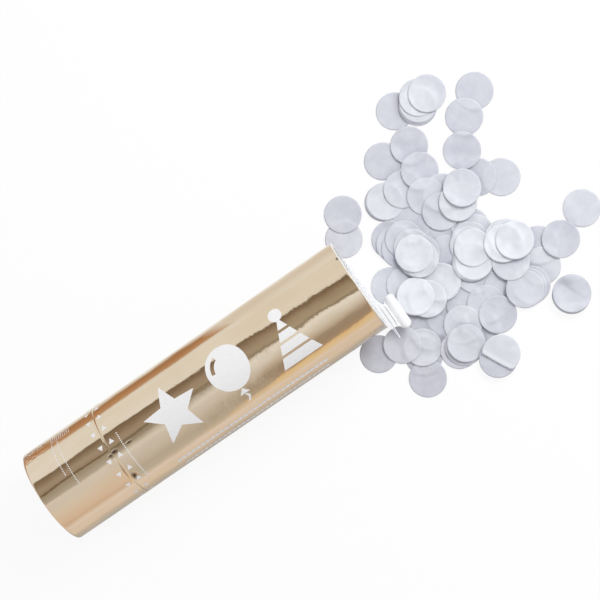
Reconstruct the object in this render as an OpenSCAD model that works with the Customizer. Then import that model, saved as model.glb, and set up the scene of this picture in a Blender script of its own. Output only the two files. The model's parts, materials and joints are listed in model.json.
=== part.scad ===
// Confetti popper: a foil-wrapped board tube that is fired by twisting its grip.
// It lies on its side along +X, mouth towards +X, with its tissue discs poured out
// on the surface in front of it. All sizes are in millimetres.

/* [Tube] */
// Outside diameter of the foil-wrapped tube
tube_od = 52; // [46:1:60]
// Length from the base rim to the mouth
tube_len = 192; // [175:1:260]
// Length of the grip, the part that is twisted
grip_len = 43; // [38:1:52]
// Gap between the grip and the barrel
seam_gap = 0.4; // [0.3:0.1:0.8]
// Thickness of the wound board
board_wall = 1.6; // [1.2:0.1:2]
// Thickness of the foil wrap with its paper backing
foil_wall = 0.2; // [0.15:0.05:0.3]

/* [Base cap and cradle] */
// Depth of the base cap's face inside the base rim
cap_recess = 3; // [2:0.5:5]
// Wall of the base cap
cap_wall = 1.6; // [1.2:0.1:2]
// Depth of the base cap's skirt
cap_skirt = 8; // [6:0.5:10]
// Diameter of the dished middle of the base cap
cap_dish_od = 30; // [20:1:34]
// Depth of the dished middle
cap_dish_depth = 1; // [0.5:0.1:1.4]
// Length of the cradle that holds the bottle's foot
cradle_len = 12; // [8:1:14]
// Wall of the cradle
cradle_wall = 1.5; // [1.2:0.1:2]
// Diameter of the hole in the cradle's floor
cradle_hole_od = 16; // [10:1:20]

/* [Air bottle] */
// Outside diameter of the bottle
bottle_od = 34; // [28:1:35]
// Height of the bottle to the top of its neck
bottle_len = 57; // [54:1:62]
// Thickness of the bottle's wall
bottle_wall = 1; // [0.8:0.1:1.4]
// Height of the straight side of the bottle
bottle_side = 38; // [34:1:40]
// Outside diameter of the neck
neck_od = 15; // [14:0.5:15.5]
// Diameter of the neck's bore
neck_bore = 12; // [11:0.5:12.5]
// Height of the neck
neck_len = 8; // [6:0.5:9]
// Diameter of the bead round the neck's top
neck_bead_od = 16.4; // [16:0.1:16.8]
// Height of the bead
neck_bead_len = 1.6; // [1.2:0.1:2]

/* [Valve] */
// Bore of the valve seat
seat_bore = 8; // [7:0.5:8.5]
// Depth of the valve seat inside the neck
seat_len = 9; // [8:0.5:10]
// Thickness of the neck gasket
gasket_wall = 1; // [0.6:0.1:1.4]
// Thickness of the seat's flange
flange_wall = 2; // [1.5:0.1:2.5]
// Thickness of the crimped collar
collar_wall = 0.5; // [0.4:0.05:0.6]
// Diameter of the plunger's stem
stem_od = 5; // [4:0.5:5.5]
// Section diameter of an O-ring
oring_section = 1.6; // [1.4:0.1:1.8]
// Diameter of the cross pin
pin_od = 2.4; // [2:0.1:2.6]
// How far a full twist lifts the plunger
valve_lift = 6.5; // [6:0.5:8]
// Angle of a full twist
twist_angle = 90; // [60:5:100]

/* [Coupler and nozzle] */
// Wall of the coupler's sleeve
sleeve_wall = 1.6; // [1.4:0.1:1.8]
// Thickness of the web that carries the cam hub
web_wall = 2; // [1.5:0.1:3]
// Wall of the cam hub
hub_wall = 2.4; // [2:0.1:3]
// Outside diameter of the nozzle's guide skirt
skirt_od = 18; // [17.4:0.1:20]
// Wall of the nozzle's guide skirt
skirt_wall = 2; // [1.6:0.1:2.2]
// Thickness of the nozzle plate
plate_wall = 4; // [3:0.5:5]
// Height of the lip that the wad stands off from
nozzle_lip = 4; // [3:0.5:6]
// Diameter of one gas port
port_od = 2.2; // [1.8:0.1:2.4]

/* [Wad] */
// Height of the pusher cup's skirt
cup_skirt = 8; // [6:0.5:10]
// Wall of the pusher cup
cup_wall = 1.4; // [1:0.1:2]
// Thickness of the felt pad on the cup
pad_wall = 2; // [1:0.5:4]

/* [Confetti and seal] */
// Diameter of one tissue disc
disc_od = 20; // [16:1:24]
// Thickness that one tissue disc is drawn with
tissue_wall = 0.2; // [0.15:0.05:0.3]
// Air between two discs that lie on each other
tissue_gap = 0.1; // [0.05:0.05:0.3]
// Radius to which the uppermost discs curl
curl_radius = 48; // [40:1:120]
// Diameter of the clear mouth seal
seal_od = 50; // [42:1:51]
// Thickness of the clear mouth seal
seal_wall = 0.4; // [0.3:0.1:0.8]
// How far the seal has slipped to the side
seal_slip = 9; // [4:1:14]
// Gap between the mouth and the middle of the seal
seal_gap = 1.1; // [1:0.1:3]
// How far the seal is turned about the upright
seal_yaw = 1.7; // [0:0.1:2.5]

/* [Hidden] */
$fn = 96;

// Running clearance of pieces that turn or slide in each other, on the radius
running_gap = 0.08;
// Free space between pieces that pass each other
free_gap = 1;
// How far a cut runs past the face that it opens
overrun = 0.5;

// Radii of the tube's layers
wrap_r = tube_od / 2;
board_r = wrap_r - foil_wall;
bore_r = board_r - board_wall;
barrel_x = grip_len + seam_gap;
barrel_len = tube_len - barrel_x;

// Stations along the tube, from the base rim
cradle_x = cap_recess + cap_skirt;
bottle_x = cradle_x + cradle_wall;
neck_top_x = bottle_x + bottle_len;
flange_x = neck_top_x + gasket_wall;
flange_top_x = flange_x + flange_wall;
web_x = flange_top_x + collar_wall + free_gap;
sleeve_x = cradle_x + cradle_len + free_gap;
sleeve_end_x = web_x + web_wall;
skirt_x = web_x + free_gap;
pin_x = skirt_x + pin_od + free_gap;
plate_x = pin_x + valve_lift + pin_od + 4 * free_gap;
hub_end_x = plate_x - 2 * free_gap;
lip_end_x = plate_x + plate_wall + nozzle_lip;
cup_x = lip_end_x + free_gap;
pad_x = cup_x + cup_skirt;
chamber_x = pad_x + pad_wall;

// Radii of the working pieces
sleeve_r = bore_r - running_gap;
sleeve_bore_r = bore_r - sleeve_wall;
skirt_r = skirt_od / 2;
skirt_bore_r = skirt_r - skirt_wall;
hub_bore_r = skirt_r + running_gap;
hub_r = hub_bore_r + hub_wall;
bottle_r = bottle_od / 2;
neck_r = neck_od / 2;
bead_r = neck_bead_od / 2;
seat_r = seat_bore / 2;
plunger_r = seat_r - running_gap;
stem_r = stem_od / 2;
pin_r = pin_od / 2;
oring_r = oring_section / 2;
oring_ring_r = seat_r - running_gap / 2 - oring_r;
groove_r = oring_ring_r - oring_r;
pin_slot_r = pin_r + running_gap;
cam_slot_r = pin_r + 3 * running_gap;
cam_steps = 18;
rib_count = 8;
rib_wall = 1.2;
port_count = 6;

// Stations of the plunger
seat_x = flange_top_x - seat_len;
groove_len = oring_section + 2 * running_gap;
groove_x = flange_top_x - free_gap - 2 * groove_len - free_gap;
second_groove_x = groove_x + groove_len + free_gap;
plunger_head_x = groove_x - free_gap;
plunger_tail_x = seat_x - free_gap;
stem_end_x = plate_x + free_gap;

// Places of the tissue discs, counted in disc diameters from the middle of the mouth.
// A row is a fan of discs that lie on each other: x, y, number, step in x, step in y.
// The piles, and the fans of each pile, are written from the lowest to the highest.
bottom_pile_shares = [
    [2.4, 0.05, 1, 0, 0],
    [2.3, -0.3, 1, 0, 0],
    [2.3, -0.6, 1, 0, 0],
    [1.95, 0.55, 1, 0, 0],
    [3.2, -0.35, 1, 0, 0],
    [0.6, -0.45, 1, 0, 0],
    [0.95, -0.65, 1, 0, 0],
    [1.9, -2.7, 1, 0, 0],
    [1.35, -1.95, 1, 0, 0]];
beside_mouth_shares = [
    [0.3, 1.25, 1, 0, 0],
    [0.65, 1.8, 1, 0, 0]];
far_left_pile_shares = [
    [3.3, 3.25, 1, 0, 0],
    [3.85, 3, 3, 0.03, 0.03],
    [4, 3.2, 1, 0, 0],
    [4.25, 3.15, 1, 0, 0],
    [2.3, 2.35, 1, 0, 0],
    [3.1, 2.3, 1, 0, 0],
    [1.7, 1.45, 3, 0.03, 0],
    [2.3, 1.45, 1, 0, 0],
    [2.95, 1.6, 1, 0, 0],
    [3.1, 0.8, 1, 0, 0],
    [2.7, 0.95, 1, 0, 0],
    [2.8, 0.4, 1, 0, 0]];
far_row_shares = [
    [5.3, 2.5, 1, 0, 0],
    [4.7, 2.1, 1, 0, 0],
    [4.6, 0.25, 1, 0, 0],
    [4.1, 0.6, 1, 0, 0],
    [4.15, 1.4, 1, 0, 0],
    [3.3, 0.35, 1, 0, 0],
    [3.6, 0.6, 1, 0, 0]];
near_pile_shares = [
    [-0.65, -1.75, 1, 0, 0],
    [0.3, -2.45, 1, 0, 0],
    [0.05, -3, 1, 0, 0],
    [0.75, -1.6, 1, 0, 0],
    [0.8, -2, 1, 0, 0],
    [0.4, -2.25, 1, 0, 0],
    [0, -1.9, 1, 0, 0]];
right_pile_shares = [
    [1.95, -1.95, 1, 0, 0],
    [2.6, -1.45, 1, 0, 0],
    [3, -2.15, 1, 0, 0],
    [2.4, -2.25, 1, 0, 0],
    [1.6, -2.35, 1, 0, 0],
    [2.5, -2.65, 1, 0, 0],
    [1.15, -2.85, 2, 0.15, 0],
    [1.4, -2.8, 1, 0, 0]];
far_right_pile_shares = [
    [4.4, -1.75, 1, 0, 0],
    [4.15, -2.25, 1, 0, 0],
    [4.95, -1.95, 1, 0, 0],
    [5.85, -1.6, 1, 0, 0],
    [3.65, -2.5, 3, -0.1, 0],
    [4.35, -3.3, 2, 0.03, 0.03]];
mouth_pile_shares = [
    [1.7, -1.05, 3, 0.04, -0.04],
    [1.2, -1.25, 2, 0.03, -0.03],
    [1, -1.05, 1, 0, 0]];
left_pile_shares = [
    [1.3, 0.55, 3, 0.035, -0.18],
    [1.6, 0.35, 1, 0, 0],
    [1.65, 0.05, 1, 0, 0],
    [1.75, -0.2, 1, 0, 0],
    [1.6, -0.25, 1, 0, 0],
    [1.65, -0.3, 1, 0, 0],
    [1.6, -0.1, 1, 0, 0]];
middle_pile_shares = [
    [3.2, -0.55, 1, 0, 0],
    [3, -0.65, 2, -0.1, -0.08],
    [2.7, -1.15, 3, 0.035, 0],
    [2.95, -0.85, 1, 0, 0]];
top_pile_shares = [
    [3.55, -1.7, 1, 0, 0],
    [3.75, -1.1, 2, 0.1, -0.05],
    [3.65, -1.2, 1, 0, 0],
    [3.95, -1.3, 1, 0, 0]];
curl_place_shares = [0.35, -1.1];
folded_place_shares = [1.85, -3.6];
// Width of the curled disc
curl_width_share = 0.42;
// Distance of the crease from the middle of the folded disc, and of the one under it
fold_line_share = 0.24;
fold_rest_share = 0.08;
// How far the fold stands open, and which way its crease faces
fold_angle = 6;
fold_turn = 207;

// One place for each disc, with its fan spread out
function spread(rows) =
    [for (row = rows) for (k = [0:1:row[2] - 1])
        [row[0] + k * row[3], row[1] + k * row[4]]];
places = spread(concat(bottom_pile_shares, beside_mouth_shares, far_left_pile_shares,
                       far_row_shares, near_pile_shares, right_pile_shares,
                       far_right_pile_shares, mouth_pile_shares, left_pile_shares,
                       middle_pile_shares, top_pile_shares,
                       [[folded_place_shares[0], folded_place_shares[1], 1, 0, 0]]));
disc_count = len(places);
folded_disc = disc_count - 1;
function apart(i, j) = norm(places[i] - places[j]);
// A disc lies above each earlier disc that it covers. Where it only meets a disc's
// rim it may slip under, so it takes the lowest level that is free there.
// The folded disc is the last, and lies above every disc that it meets.
deep_share = 0.9;
function free_level(i, found, level) =
    len([for (j = [0:1:i - 1]) if (apart(i, j) < 1 && found[j] == level) 1]) == 0
    ? level : free_level(i, found, level + 1);
function lowest_level(i, found) =
    let (reach = i == folded_disc ? 1 : deep_share)
    1 + max(concat([-1], [for (j = [0:1:i - 1]) if (apart(i, j) < reach) found[j]]));
function levels(i, found) =
    i == disc_count ? found
    : levels(i + 1, concat(found, [free_level(i, found, lowest_level(i, found))]));
disc_levels = levels(0, []);
function is_uppermost(i) =
    len([for (j = [0:1:disc_count - 1])
        if (apart(i, j) < 1 && disc_levels[j] > disc_levels[i]) 1]) == 0;
level_pitch = tissue_wall + tissue_gap;
// The curled disc lies above every disc that is under its middle
curl_reach = (1 + curl_width_share) / 2;
curl_level = 1 + max([for (i = [0:1:disc_count - 1])
    if (norm(places[i] - curl_place_shares) < curl_reach) disc_levels[i]]);

// The origin is under the middle of the whole part's box
reach_x = tube_len + disc_od * (max([for (p = places) p[0]]) + 0.5);
left_y = disc_od * (max([for (p = places) p[1]]) + 0.5);
right_y = disc_od * (min([for (p = places) p[1]]) - 0.5);
base_rim_x = -reach_x / 2;
axis_y = -(left_y + right_y) / 2;
echo(base_rim_x = base_rim_x, axis_y = axis_y, reach_x = reach_x, discs = disc_count,
     top_level = max(disc_levels), curl_level = curl_level,
     chamber_x = chamber_x, pad_travel = tube_len - chamber_x);

// Places its children on the tube's axis, their +Z along the tube, x from the base rim
module along_tube(x) {
    translate([base_rim_x + x, axis_y, wrap_r])
        rotate([0, 90, 0])
            children();
}

// Places its children on the surface, by a share of the disc diameter from the mouth
module on_surface(place, z) {
    translate([base_rim_x + tube_len + place[0] * disc_od, axis_y + place[1] * disc_od, z])
        children();
}

module ring(outer_r, inner_r, length) {
    rotate_extrude()
        translate([inner_r, 0])
            square([outer_r - inner_r, length]);
}

module radial_ribs(inner_r, outer_r, length) {
    for (k = [0:1:rib_count - 1])
        rotate([0, 0, k * 360 / rib_count])
            translate([inner_r, -rib_wall / 2, 0])
                cube([outer_r - inner_r, rib_wall, length]);
}

module barrel_tube() {
    color("ghostwhite")
        along_tube(barrel_x)
            ring(board_r, bore_r, barrel_len);
}

module barrel_foil() {
    color("burlywood")
        along_tube(barrel_x)
            ring(wrap_r, board_r, barrel_len);
}

// A slot for the cross pin from its rest place to its lifted place, right through
module pin_slot(slot_r, reach) {
    for (lift = [0, valve_lift])
        translate([0, 0, lift])
            rotate([90, 0, 0])
                cylinder(r = slot_r, h = 2 * reach, center = true);
    translate([-slot_r, -reach, 0])
        cube([2 * slot_r, 2 * reach, valve_lift]);
}

// The nozzle closes the breech. Its skirt keeps the cross pin from turning.
module nozzle_block() {
    back_len = hub_end_x - pin_x;
    guide_r = stem_r + running_gap;
    boss_r = guide_r + rib_wall;
    color("gainsboro")
        along_tube(0)
            difference() {
                union() {
                    translate([0, 0, plate_x])
                        cylinder(r = bore_r, h = plate_wall);
                    translate([0, 0, plate_x + plate_wall])
                        ring(bore_r, bore_r - cap_wall, nozzle_lip);
                    translate([0, 0, plate_x - back_len / 2])
                        ring(bore_r, bore_r - cap_wall, back_len / 2);
                    translate([0, 0, plate_x - back_len / 2])
                        radial_ribs(hub_r + free_gap, bore_r - cap_wall / 2, back_len / 2);
                    translate([0, 0, skirt_x])
                        ring(skirt_r, skirt_bore_r, plate_x - skirt_x);
                    translate([0, 0, plate_x - plate_wall / 2])
                        cylinder(r = boss_r, h = plate_wall / 2);
                }
                translate([0, 0, plate_x - plate_wall])
                    cylinder(r = guide_r, h = 2 * plate_wall + overrun);
                for (k = [0:1:port_count - 1])
                    rotate([0, 0, k * 360 / port_count])
                        translate([(boss_r + skirt_bore_r) / 2, 0, plate_x - overrun])
                            cylinder(d = port_od, h = plate_wall + 2 * overrun);
                translate([0, 0, pin_x])
                    pin_slot(pin_slot_r, skirt_r + overrun);
            }
}

module mouth_seal() {
    color("aliceblue", 0.4)
        translate([base_rim_x + tube_len + seal_gap, axis_y - seal_slip,
                   seal_od / 2 + level_pitch])
            rotate([0, 90, seal_yaw])
                cylinder(d = seal_od, h = seal_wall);
}

module flat_disc(z) {
    translate([0, 0, z])
        cylinder(d = disc_od, h = tissue_wall);
}

// A disc whose two sides rise from a straight line, as thin paper curls
module curled_disc(z) {
    rise = curl_radius - sqrt(curl_radius * curl_radius - disc_od * disc_od / 4);
    intersection() {
        translate([0, 0, z])
            cylinder(d = disc_od, h = rise + 2 * tissue_wall);
        translate([0, 0, z + curl_radius])
            rotate([0, 90, 0])
                translate([0, 0, -disc_od])
                    ring(curl_radius, curl_radius - tissue_wall, 2 * disc_od);
    }
}

module confetti(from_level, to_level) {
    color("lavender")
        for (i = [0:1:folded_disc - 1])
            if (disc_levels[i] >= from_level && disc_levels[i] <= to_level)
                on_surface(places[i], disc_levels[i] * level_pitch)
                    rotate([0, 0, 67 * i])
                        if (disc_levels[i] > 0 && is_uppermost(i))
                            curled_disc(0);
                        else
                            flat_disc(0);
}

module confetti_floor_layer() {
    confetti(0, 0);
}

module confetti_second_layer() {
    confetti(1, 1);
}

module confetti_third_layer() {
    confetti(2, 2);
}

module confetti_upper_layers() {
    confetti(3, disc_count);
}

// One disc has rolled into a gutter and lies on its back beside the seal
module confetti_curl() {
    gutter_r = disc_od * curl_width_share / 2;
    color("white")
        on_surface(curl_place_shares, curl_level * level_pitch)
            intersection() {
                translate([0, 0, gutter_r])
                    rotate([90, 0, 0])
                        translate([0, 0, -disc_od / 2])
                            difference() {
                                ring(gutter_r, gutter_r - tissue_wall, disc_od);
                                translate([-disc_od / 2, gutter_r / 3, -overrun])
                                    cube([disc_od, disc_od, disc_od + 2 * overrun]);
                            }
                linear_extrude(disc_od) {
                    square([2 * gutter_r, disc_od - 2 * gutter_r], center = true);
                    for (side = [-1, 1])
                        translate([0, side * (disc_od / 2 - gutter_r)])
                            circle(r = gutter_r);
                }
            }
}

// The part of a disc between two straight lines across it
module disc_part(from_share, to_share) {
    intersection() {
        cylinder(d = disc_od, h = tissue_wall);
        translate([disc_od * from_share, -disc_od, -overrun])
            cube([disc_od * (to_share - from_share), 2 * disc_od,
                  tissue_wall + 2 * overrun]);
    }
}

// One disc lies flat, and another lies on it with its near side folded under
module confetti_folded() {
    crease = disc_od * fold_line_share;
    color("white")
        on_surface(folded_place_shares, disc_levels[folded_disc] * level_pitch) {
            cylinder(d = disc_od, h = tissue_wall);
            rotate([0, 0, fold_turn])
                translate([disc_od * fold_rest_share, 0, level_pitch]) {
                    translate([crease, 0, 0])
                        rotate([0, 0, 180])
                            disc_part(fold_line_share, 1);
                    translate([0, 0, tissue_wall])
                        rotate([0, fold_angle, 0])
                            translate([-crease, 0, 0])
                                disc_part(-1, fold_line_share);
                }
        }
}

module grip_tube() {
    color("ghostwhite")
        along_tube(0)
            ring(board_r, bore_r, grip_len);
}

module grip_foil() {
    color("burlywood")
        along_tube(0)
            ring(wrap_r, board_r, grip_len);
}

// The cap is pushed into the base and stands back from the rim
module base_cap() {
    dish_r = cap_dish_od / 2;
    color("gainsboro")
        along_tube(cap_recess) {
            rotate_extrude()
                polygon([
                    [0, cap_dish_depth],
                    [dish_r - cap_dish_depth, cap_dish_depth],
                    [dish_r, 0],
                    [bore_r, 0],
                    [bore_r, cap_skirt],
                    [bore_r - cap_wall, cap_skirt],
                    [bore_r - cap_wall, cap_wall],
                    [dish_r, cap_wall],
                    [dish_r - cap_dish_depth, cap_wall + cap_dish_depth],
                    [0, cap_wall + cap_dish_depth]]);
            translate([0, 0, cap_wall - tissue_wall])
                radial_ribs(dish_r, bore_r - cap_wall / 2, cap_skirt / 2);
        }
}

// The cradle centres the bottle's foot in the grip
module bottle_cradle() {
    color("gainsboro")
        along_tube(cradle_x) {
            ring(bore_r, cradle_hole_od / 2, cradle_wall);
            ring(bore_r, bore_r - cradle_wall, cradle_len);
            ring(bottle_r + cradle_wall, bottle_r, cradle_len);
            radial_ribs(bottle_r + cradle_wall / 2, bore_r - cradle_wall / 2, cradle_len / 2);
        }
}

// One corner of the cam slot: its place along the slot, its side and its radius
function cam_point(k, side, r) =
    let (path_r = (hub_r + hub_bore_r) / 2,
         slope = atan2(valve_lift, path_r * twist_angle * PI / 180),
         turn = -twist_angle * k / cam_steps - side * cam_slot_r * sin(slope) / path_r * 180 / PI)
    [r * cos(turn + 90), r * sin(turn + 90),
     pin_x + valve_lift * k / cam_steps - side * cam_slot_r * cos(slope)];
function cam_station(k) =
    [cam_point(k, 1, hub_bore_r - overrun), cam_point(k, 1, hub_r + overrun),
     cam_point(k, -1, hub_r + overrun), cam_point(k, -1, hub_bore_r - overrun)];

// Two slots climb the hub as the grip turns, each round at both ends
module helical_slots() {
    side_faces = [for (k = [0:1:cam_steps - 1]) for (c = [0:1:3])
        let (a = 4 * k + c, b = 4 * k + (c + 1) % 4)
        for (face = [[a, a + 4, b], [b, a + 4, b + 4]]) face];
    last = 4 * cam_steps;
    end_faces = [[0, 1, 2], [0, 2, 3], [last, last + 2, last + 1], [last, last + 3, last + 2]];
    for (turn = [0, 180])
        rotate([0, 0, turn])
            polyhedron([for (k = [0:1:cam_steps]) for (p = cam_station(k)) p],
                       concat(side_faces, end_faces));
    for (k = [0, cam_steps])
        translate([0, 0, pin_x + valve_lift * k / cam_steps])
            rotate([90, 0, -twist_angle * k / cam_steps])
                cylinder(r = cam_slot_r, h = 2 * (hub_r + overrun), center = true);
}

// The coupler is glued into the grip, and the barrel turns on its far half.
// Two helical slots in its hub drive the cross pin along the tube.
module twist_coupler() {
    web_rib_len = neck_len / 2;
    color("whitesmoke")
        along_tube(0)
            difference() {
                union() {
                    translate([0, 0, sleeve_x])
                        ring(bore_r, sleeve_bore_r, grip_len - sleeve_x);
                    translate([0, 0, grip_len])
                        ring(sleeve_r, sleeve_bore_r, sleeve_end_x - grip_len);
                    translate([0, 0, grip_len])
                        ring(board_r - foil_wall, sleeve_bore_r, seam_gap / 2);
                    translate([0, 0, web_x])
                        ring(sleeve_bore_r + sleeve_wall / 2, hub_bore_r, web_wall);
                    translate([0, 0, web_x])
                        ring(hub_r, hub_bore_r, hub_end_x - web_x);
                    translate([0, 0, web_x - web_rib_len])
                        radial_ribs(hub_r, sleeve_bore_r + sleeve_wall / 2, web_rib_len);
                }
                helical_slots();
            }
}

// A quarter of an ellipse from the side of the bottle to its neck
function shoulder(side_r, top_r, foot, height) =
    [for (k = [0:1:8])
        [top_r + (side_r - top_r) * cos(90 * k / 8), foot + height * sin(90 * k / 8)]];

module air_bottle() {
    shoulder_len = bottle_len - neck_len - bottle_side;
    foot_r = bottle_r - 3 * bottle_wall;
    inner_r = bottle_r - bottle_wall;
    outer_points = concat(
        [[0, 2 * bottle_wall], [foot_r - 2 * bottle_wall, 2 * bottle_wall], [foot_r, 0],
         [bottle_r - bottle_wall, 0], [bottle_r, bottle_wall]],
        shoulder(bottle_r, neck_r, bottle_side, shoulder_len),
        [[neck_r, bottle_len - neck_bead_len], [bead_r, bottle_len - neck_bead_len],
         [bead_r, bottle_len]]);
    inner_points = concat(
        [[neck_bore / 2, bottle_len], [neck_bore / 2, bottle_len - neck_len]],
        [for (p = [8:-1:0])
            shoulder(inner_r, neck_bore / 2, bottle_side - bottle_wall, shoulder_len)[p]],
        [[inner_r, 2 * bottle_wall], [foot_r, 2 * bottle_wall],
         [foot_r - bottle_wall, 3 * bottle_wall], [0, 3 * bottle_wall]]);
    color("silver")
        along_tube(bottle_x)
            rotate_extrude()
                polygon(concat(outer_points, inner_points));
}

module neck_insert() {
    color("goldenrod")
        along_tube(0)
            rotate_extrude()
                polygon([
                    [seat_r, seat_x],
                    [neck_bore / 2, seat_x],
                    [neck_bore / 2, flange_x],
                    [bead_r, flange_x],
                    [bead_r, flange_top_x],
                    [seat_r + collar_wall, flange_top_x],
                    [seat_r, flange_top_x - collar_wall]]);
}

module neck_gasket() {
    color("dimgray")
        along_tube(neck_top_x)
            ring(bead_r, neck_bore / 2, gasket_wall);
}

// A thin collar is rolled over the flange and under the neck's bead
module crimp_collar() {
    foot_x = neck_top_x - neck_bead_len - collar_wall;
    color("silver")
        along_tube(0)
            rotate_extrude()
                polygon([
                    [neck_r + running_gap, foot_x],
                    [bead_r + collar_wall, foot_x],
                    [bead_r + collar_wall, flange_top_x + collar_wall],
                    [bead_r - flange_wall, flange_top_x + collar_wall],
                    [bead_r - flange_wall, flange_top_x],
                    [bead_r, flange_top_x],
                    [bead_r, foot_x + collar_wall],
                    [neck_r + running_gap, foot_x + collar_wall]]);
}

// The plunger's head carries the O-rings. Flutes in its tail let the air by
// once the O-rings have left the seat.
module valve_plunger() {
    color("firebrick")
        along_tube(0)
            difference() {
                rotate_extrude()
                    polygon([
                        [0, plunger_tail_x],
                        [plunger_r - collar_wall, plunger_tail_x],
                        [plunger_r, plunger_tail_x + collar_wall],
                        [plunger_r, groove_x],
                        [groove_r, groove_x],
                        [groove_r, groove_x + groove_len],
                        [plunger_r, groove_x + groove_len],
                        [plunger_r, second_groove_x],
                        [groove_r, second_groove_x],
                        [groove_r, second_groove_x + groove_len],
                        [plunger_r, second_groove_x + groove_len],
                        [plunger_r, flange_top_x],
                        [stem_r, flange_top_x + free_gap],
                        [stem_r, stem_end_x - collar_wall],
                        [stem_r - collar_wall, stem_end_x],
                        [0, stem_end_x]]);
                for (turn = [0, 90, 180, 270])
                    rotate([0, 0, turn])
                        translate([plunger_r, 0, plunger_tail_x - overrun])
                            cylinder(r = plunger_r / 3,
                                     h = plunger_head_x - plunger_tail_x + overrun);
                translate([0, 0, pin_x])
                    rotate([90, 0, 0])
                        cylinder(r = pin_r, h = 2 * plunger_r, center = true);
            }
}

module plunger_o_rings() {
    color("black")
        for (x = [groove_x, second_groove_x])
            along_tube(x + groove_len / 2)
                rotate_extrude()
                    translate([oring_ring_r, 0])
                        circle(r = oring_r, $fn = 32);
}

// The pin ends short of the nozzle's ribs, that it slides between when it is lifted
module cross_pin() {
    color("lightsteelblue")
        along_tube(pin_x)
            rotate([90, 0, 0])
                cylinder(r = pin_r, h = 2 * hub_r + free_gap, center = true);
}

// The cup's thin skirt faces the air, which spreads it against the bore
module pusher_cup() {
    cup_r = bore_r - running_gap;
    color("whitesmoke")
        along_tube(cup_x) {
            rotate_extrude()
                polygon([
                    [cup_r - cup_wall / 2, 0],
                    [cup_r, 0],
                    [cup_r, cup_skirt / 4],
                    [cup_r - cup_wall / 4, cup_skirt / 2],
                    [cup_r, cup_skirt - cup_wall],
                    [cup_r, cup_skirt],
                    [0, cup_skirt],
                    [0, cup_skirt - cup_wall],
                    [cup_r - cup_wall, cup_skirt - cup_wall]]);
            translate([0, 0, cup_skirt / 2])
                radial_ribs(cup_wall, cup_r - cup_wall, cup_skirt / 2 - cup_wall / 2);
            translate([0, 0, cup_skirt / 2])
                cylinder(r = 2 * cup_wall, h = cup_skirt / 2 - cup_wall / 2);
        }
}

module wad_pad() {
    color("lightgray")
        along_tube(pad_x)
            cylinder(r = bore_r - foil_wall, h = pad_wall);
}

barrel_tube();
barrel_foil();
nozzle_block();
mouth_seal();
confetti_floor_layer();
confetti_second_layer();
confetti_third_layer();
confetti_upper_layers();
confetti_curl();
confetti_folded();
grip_tube();
grip_foil();
base_cap();
bottle_cradle();
twist_coupler();
air_bottle();
neck_insert();
neck_gasket();
crimp_collar();
valve_plunger();
plunger_o_rings();
cross_pin();
pusher_cup();
wad_pad();
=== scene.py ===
# %% [markdown]
# A twist-to-fire confetti popper lies on its side. Its tube is wound board under a
# champagne foil, and its round tissue discs are poured out in front of the mouth.
# The construction comes in as a fixed frame, and this script gives it its looks.

# %% Load the frame
import json
import math
from functools import partial
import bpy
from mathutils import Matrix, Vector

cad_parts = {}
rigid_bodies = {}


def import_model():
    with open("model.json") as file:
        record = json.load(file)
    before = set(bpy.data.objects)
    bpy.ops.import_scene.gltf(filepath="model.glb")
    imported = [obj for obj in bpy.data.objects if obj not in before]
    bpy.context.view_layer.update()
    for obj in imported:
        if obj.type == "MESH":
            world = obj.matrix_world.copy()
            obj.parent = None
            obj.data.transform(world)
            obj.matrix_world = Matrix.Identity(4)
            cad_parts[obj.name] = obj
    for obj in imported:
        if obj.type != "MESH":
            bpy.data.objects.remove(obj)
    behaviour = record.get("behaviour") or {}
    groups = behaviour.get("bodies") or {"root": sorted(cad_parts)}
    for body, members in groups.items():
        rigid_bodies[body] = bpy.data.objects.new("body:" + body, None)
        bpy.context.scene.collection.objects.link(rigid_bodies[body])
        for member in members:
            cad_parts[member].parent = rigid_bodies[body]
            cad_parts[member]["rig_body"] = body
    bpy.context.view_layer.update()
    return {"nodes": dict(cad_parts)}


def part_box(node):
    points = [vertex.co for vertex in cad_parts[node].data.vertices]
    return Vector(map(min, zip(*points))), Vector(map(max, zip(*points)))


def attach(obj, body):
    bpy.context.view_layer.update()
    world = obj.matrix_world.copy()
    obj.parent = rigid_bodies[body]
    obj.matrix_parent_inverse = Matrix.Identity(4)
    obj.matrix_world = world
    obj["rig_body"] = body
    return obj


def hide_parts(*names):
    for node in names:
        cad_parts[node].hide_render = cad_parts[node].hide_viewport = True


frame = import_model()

from types import SimpleNamespace

import bmesh
import bpy
import numpy as np
from mathutils import Euler, Matrix, Vector

MM = 0.001

# %% [markdown]
# Every place is worked out from the frame, so the looks follow the construction.
# The tube lies along +X. Places on it are told by the distance from the base rim
# and by the angle round the axis, which is zero at the top and grows towards +Y.

# %% Measure the tube
BARREL_LOW, BARREL_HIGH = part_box("barrel_foil")
BASE_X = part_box("grip_foil")[0].x
TUBE_R = (BARREL_HIGH.z - BARREL_LOW.z) / 2
AXIS_Y = (BARREL_LOW.y + BARREL_HIGH.y) / 2
AXIS_Z = (BARREL_LOW.z + BARREL_HIGH.z) / 2
MOUTH_X = BARREL_HIGH.x
print(f"tube: radius {TUBE_R / MM:.1f} mm, length {(MOUTH_X - BASE_X) / MM:.1f} mm")


def on_tube(x, arc):
    """A point x from the base rim and arc round the skin from the top."""
    angle = arc / TUBE_R
    return Vector((BASE_X + x, AXIS_Y + TUBE_R * math.sin(angle), AXIS_Z + TUBE_R * math.cos(angle)))


# %% [markdown]
# The camera looks almost straight down from under a metre up, as a product
# photographer does over a table. A long lens keeps the tube's sides nearly parallel.
# Its turn is written as three angles about X, Y and Z.

# %% Place the camera
CAMERA_PLACE = Vector((62.8, -19.1, 890.3)) * MM
CAMERA_TURN = Euler([math.radians(angle) for angle in (-0.41, 4.50, -34.53)])
CAMERA_LENS, CAMERA_SENSOR = 101.8, 36


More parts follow.
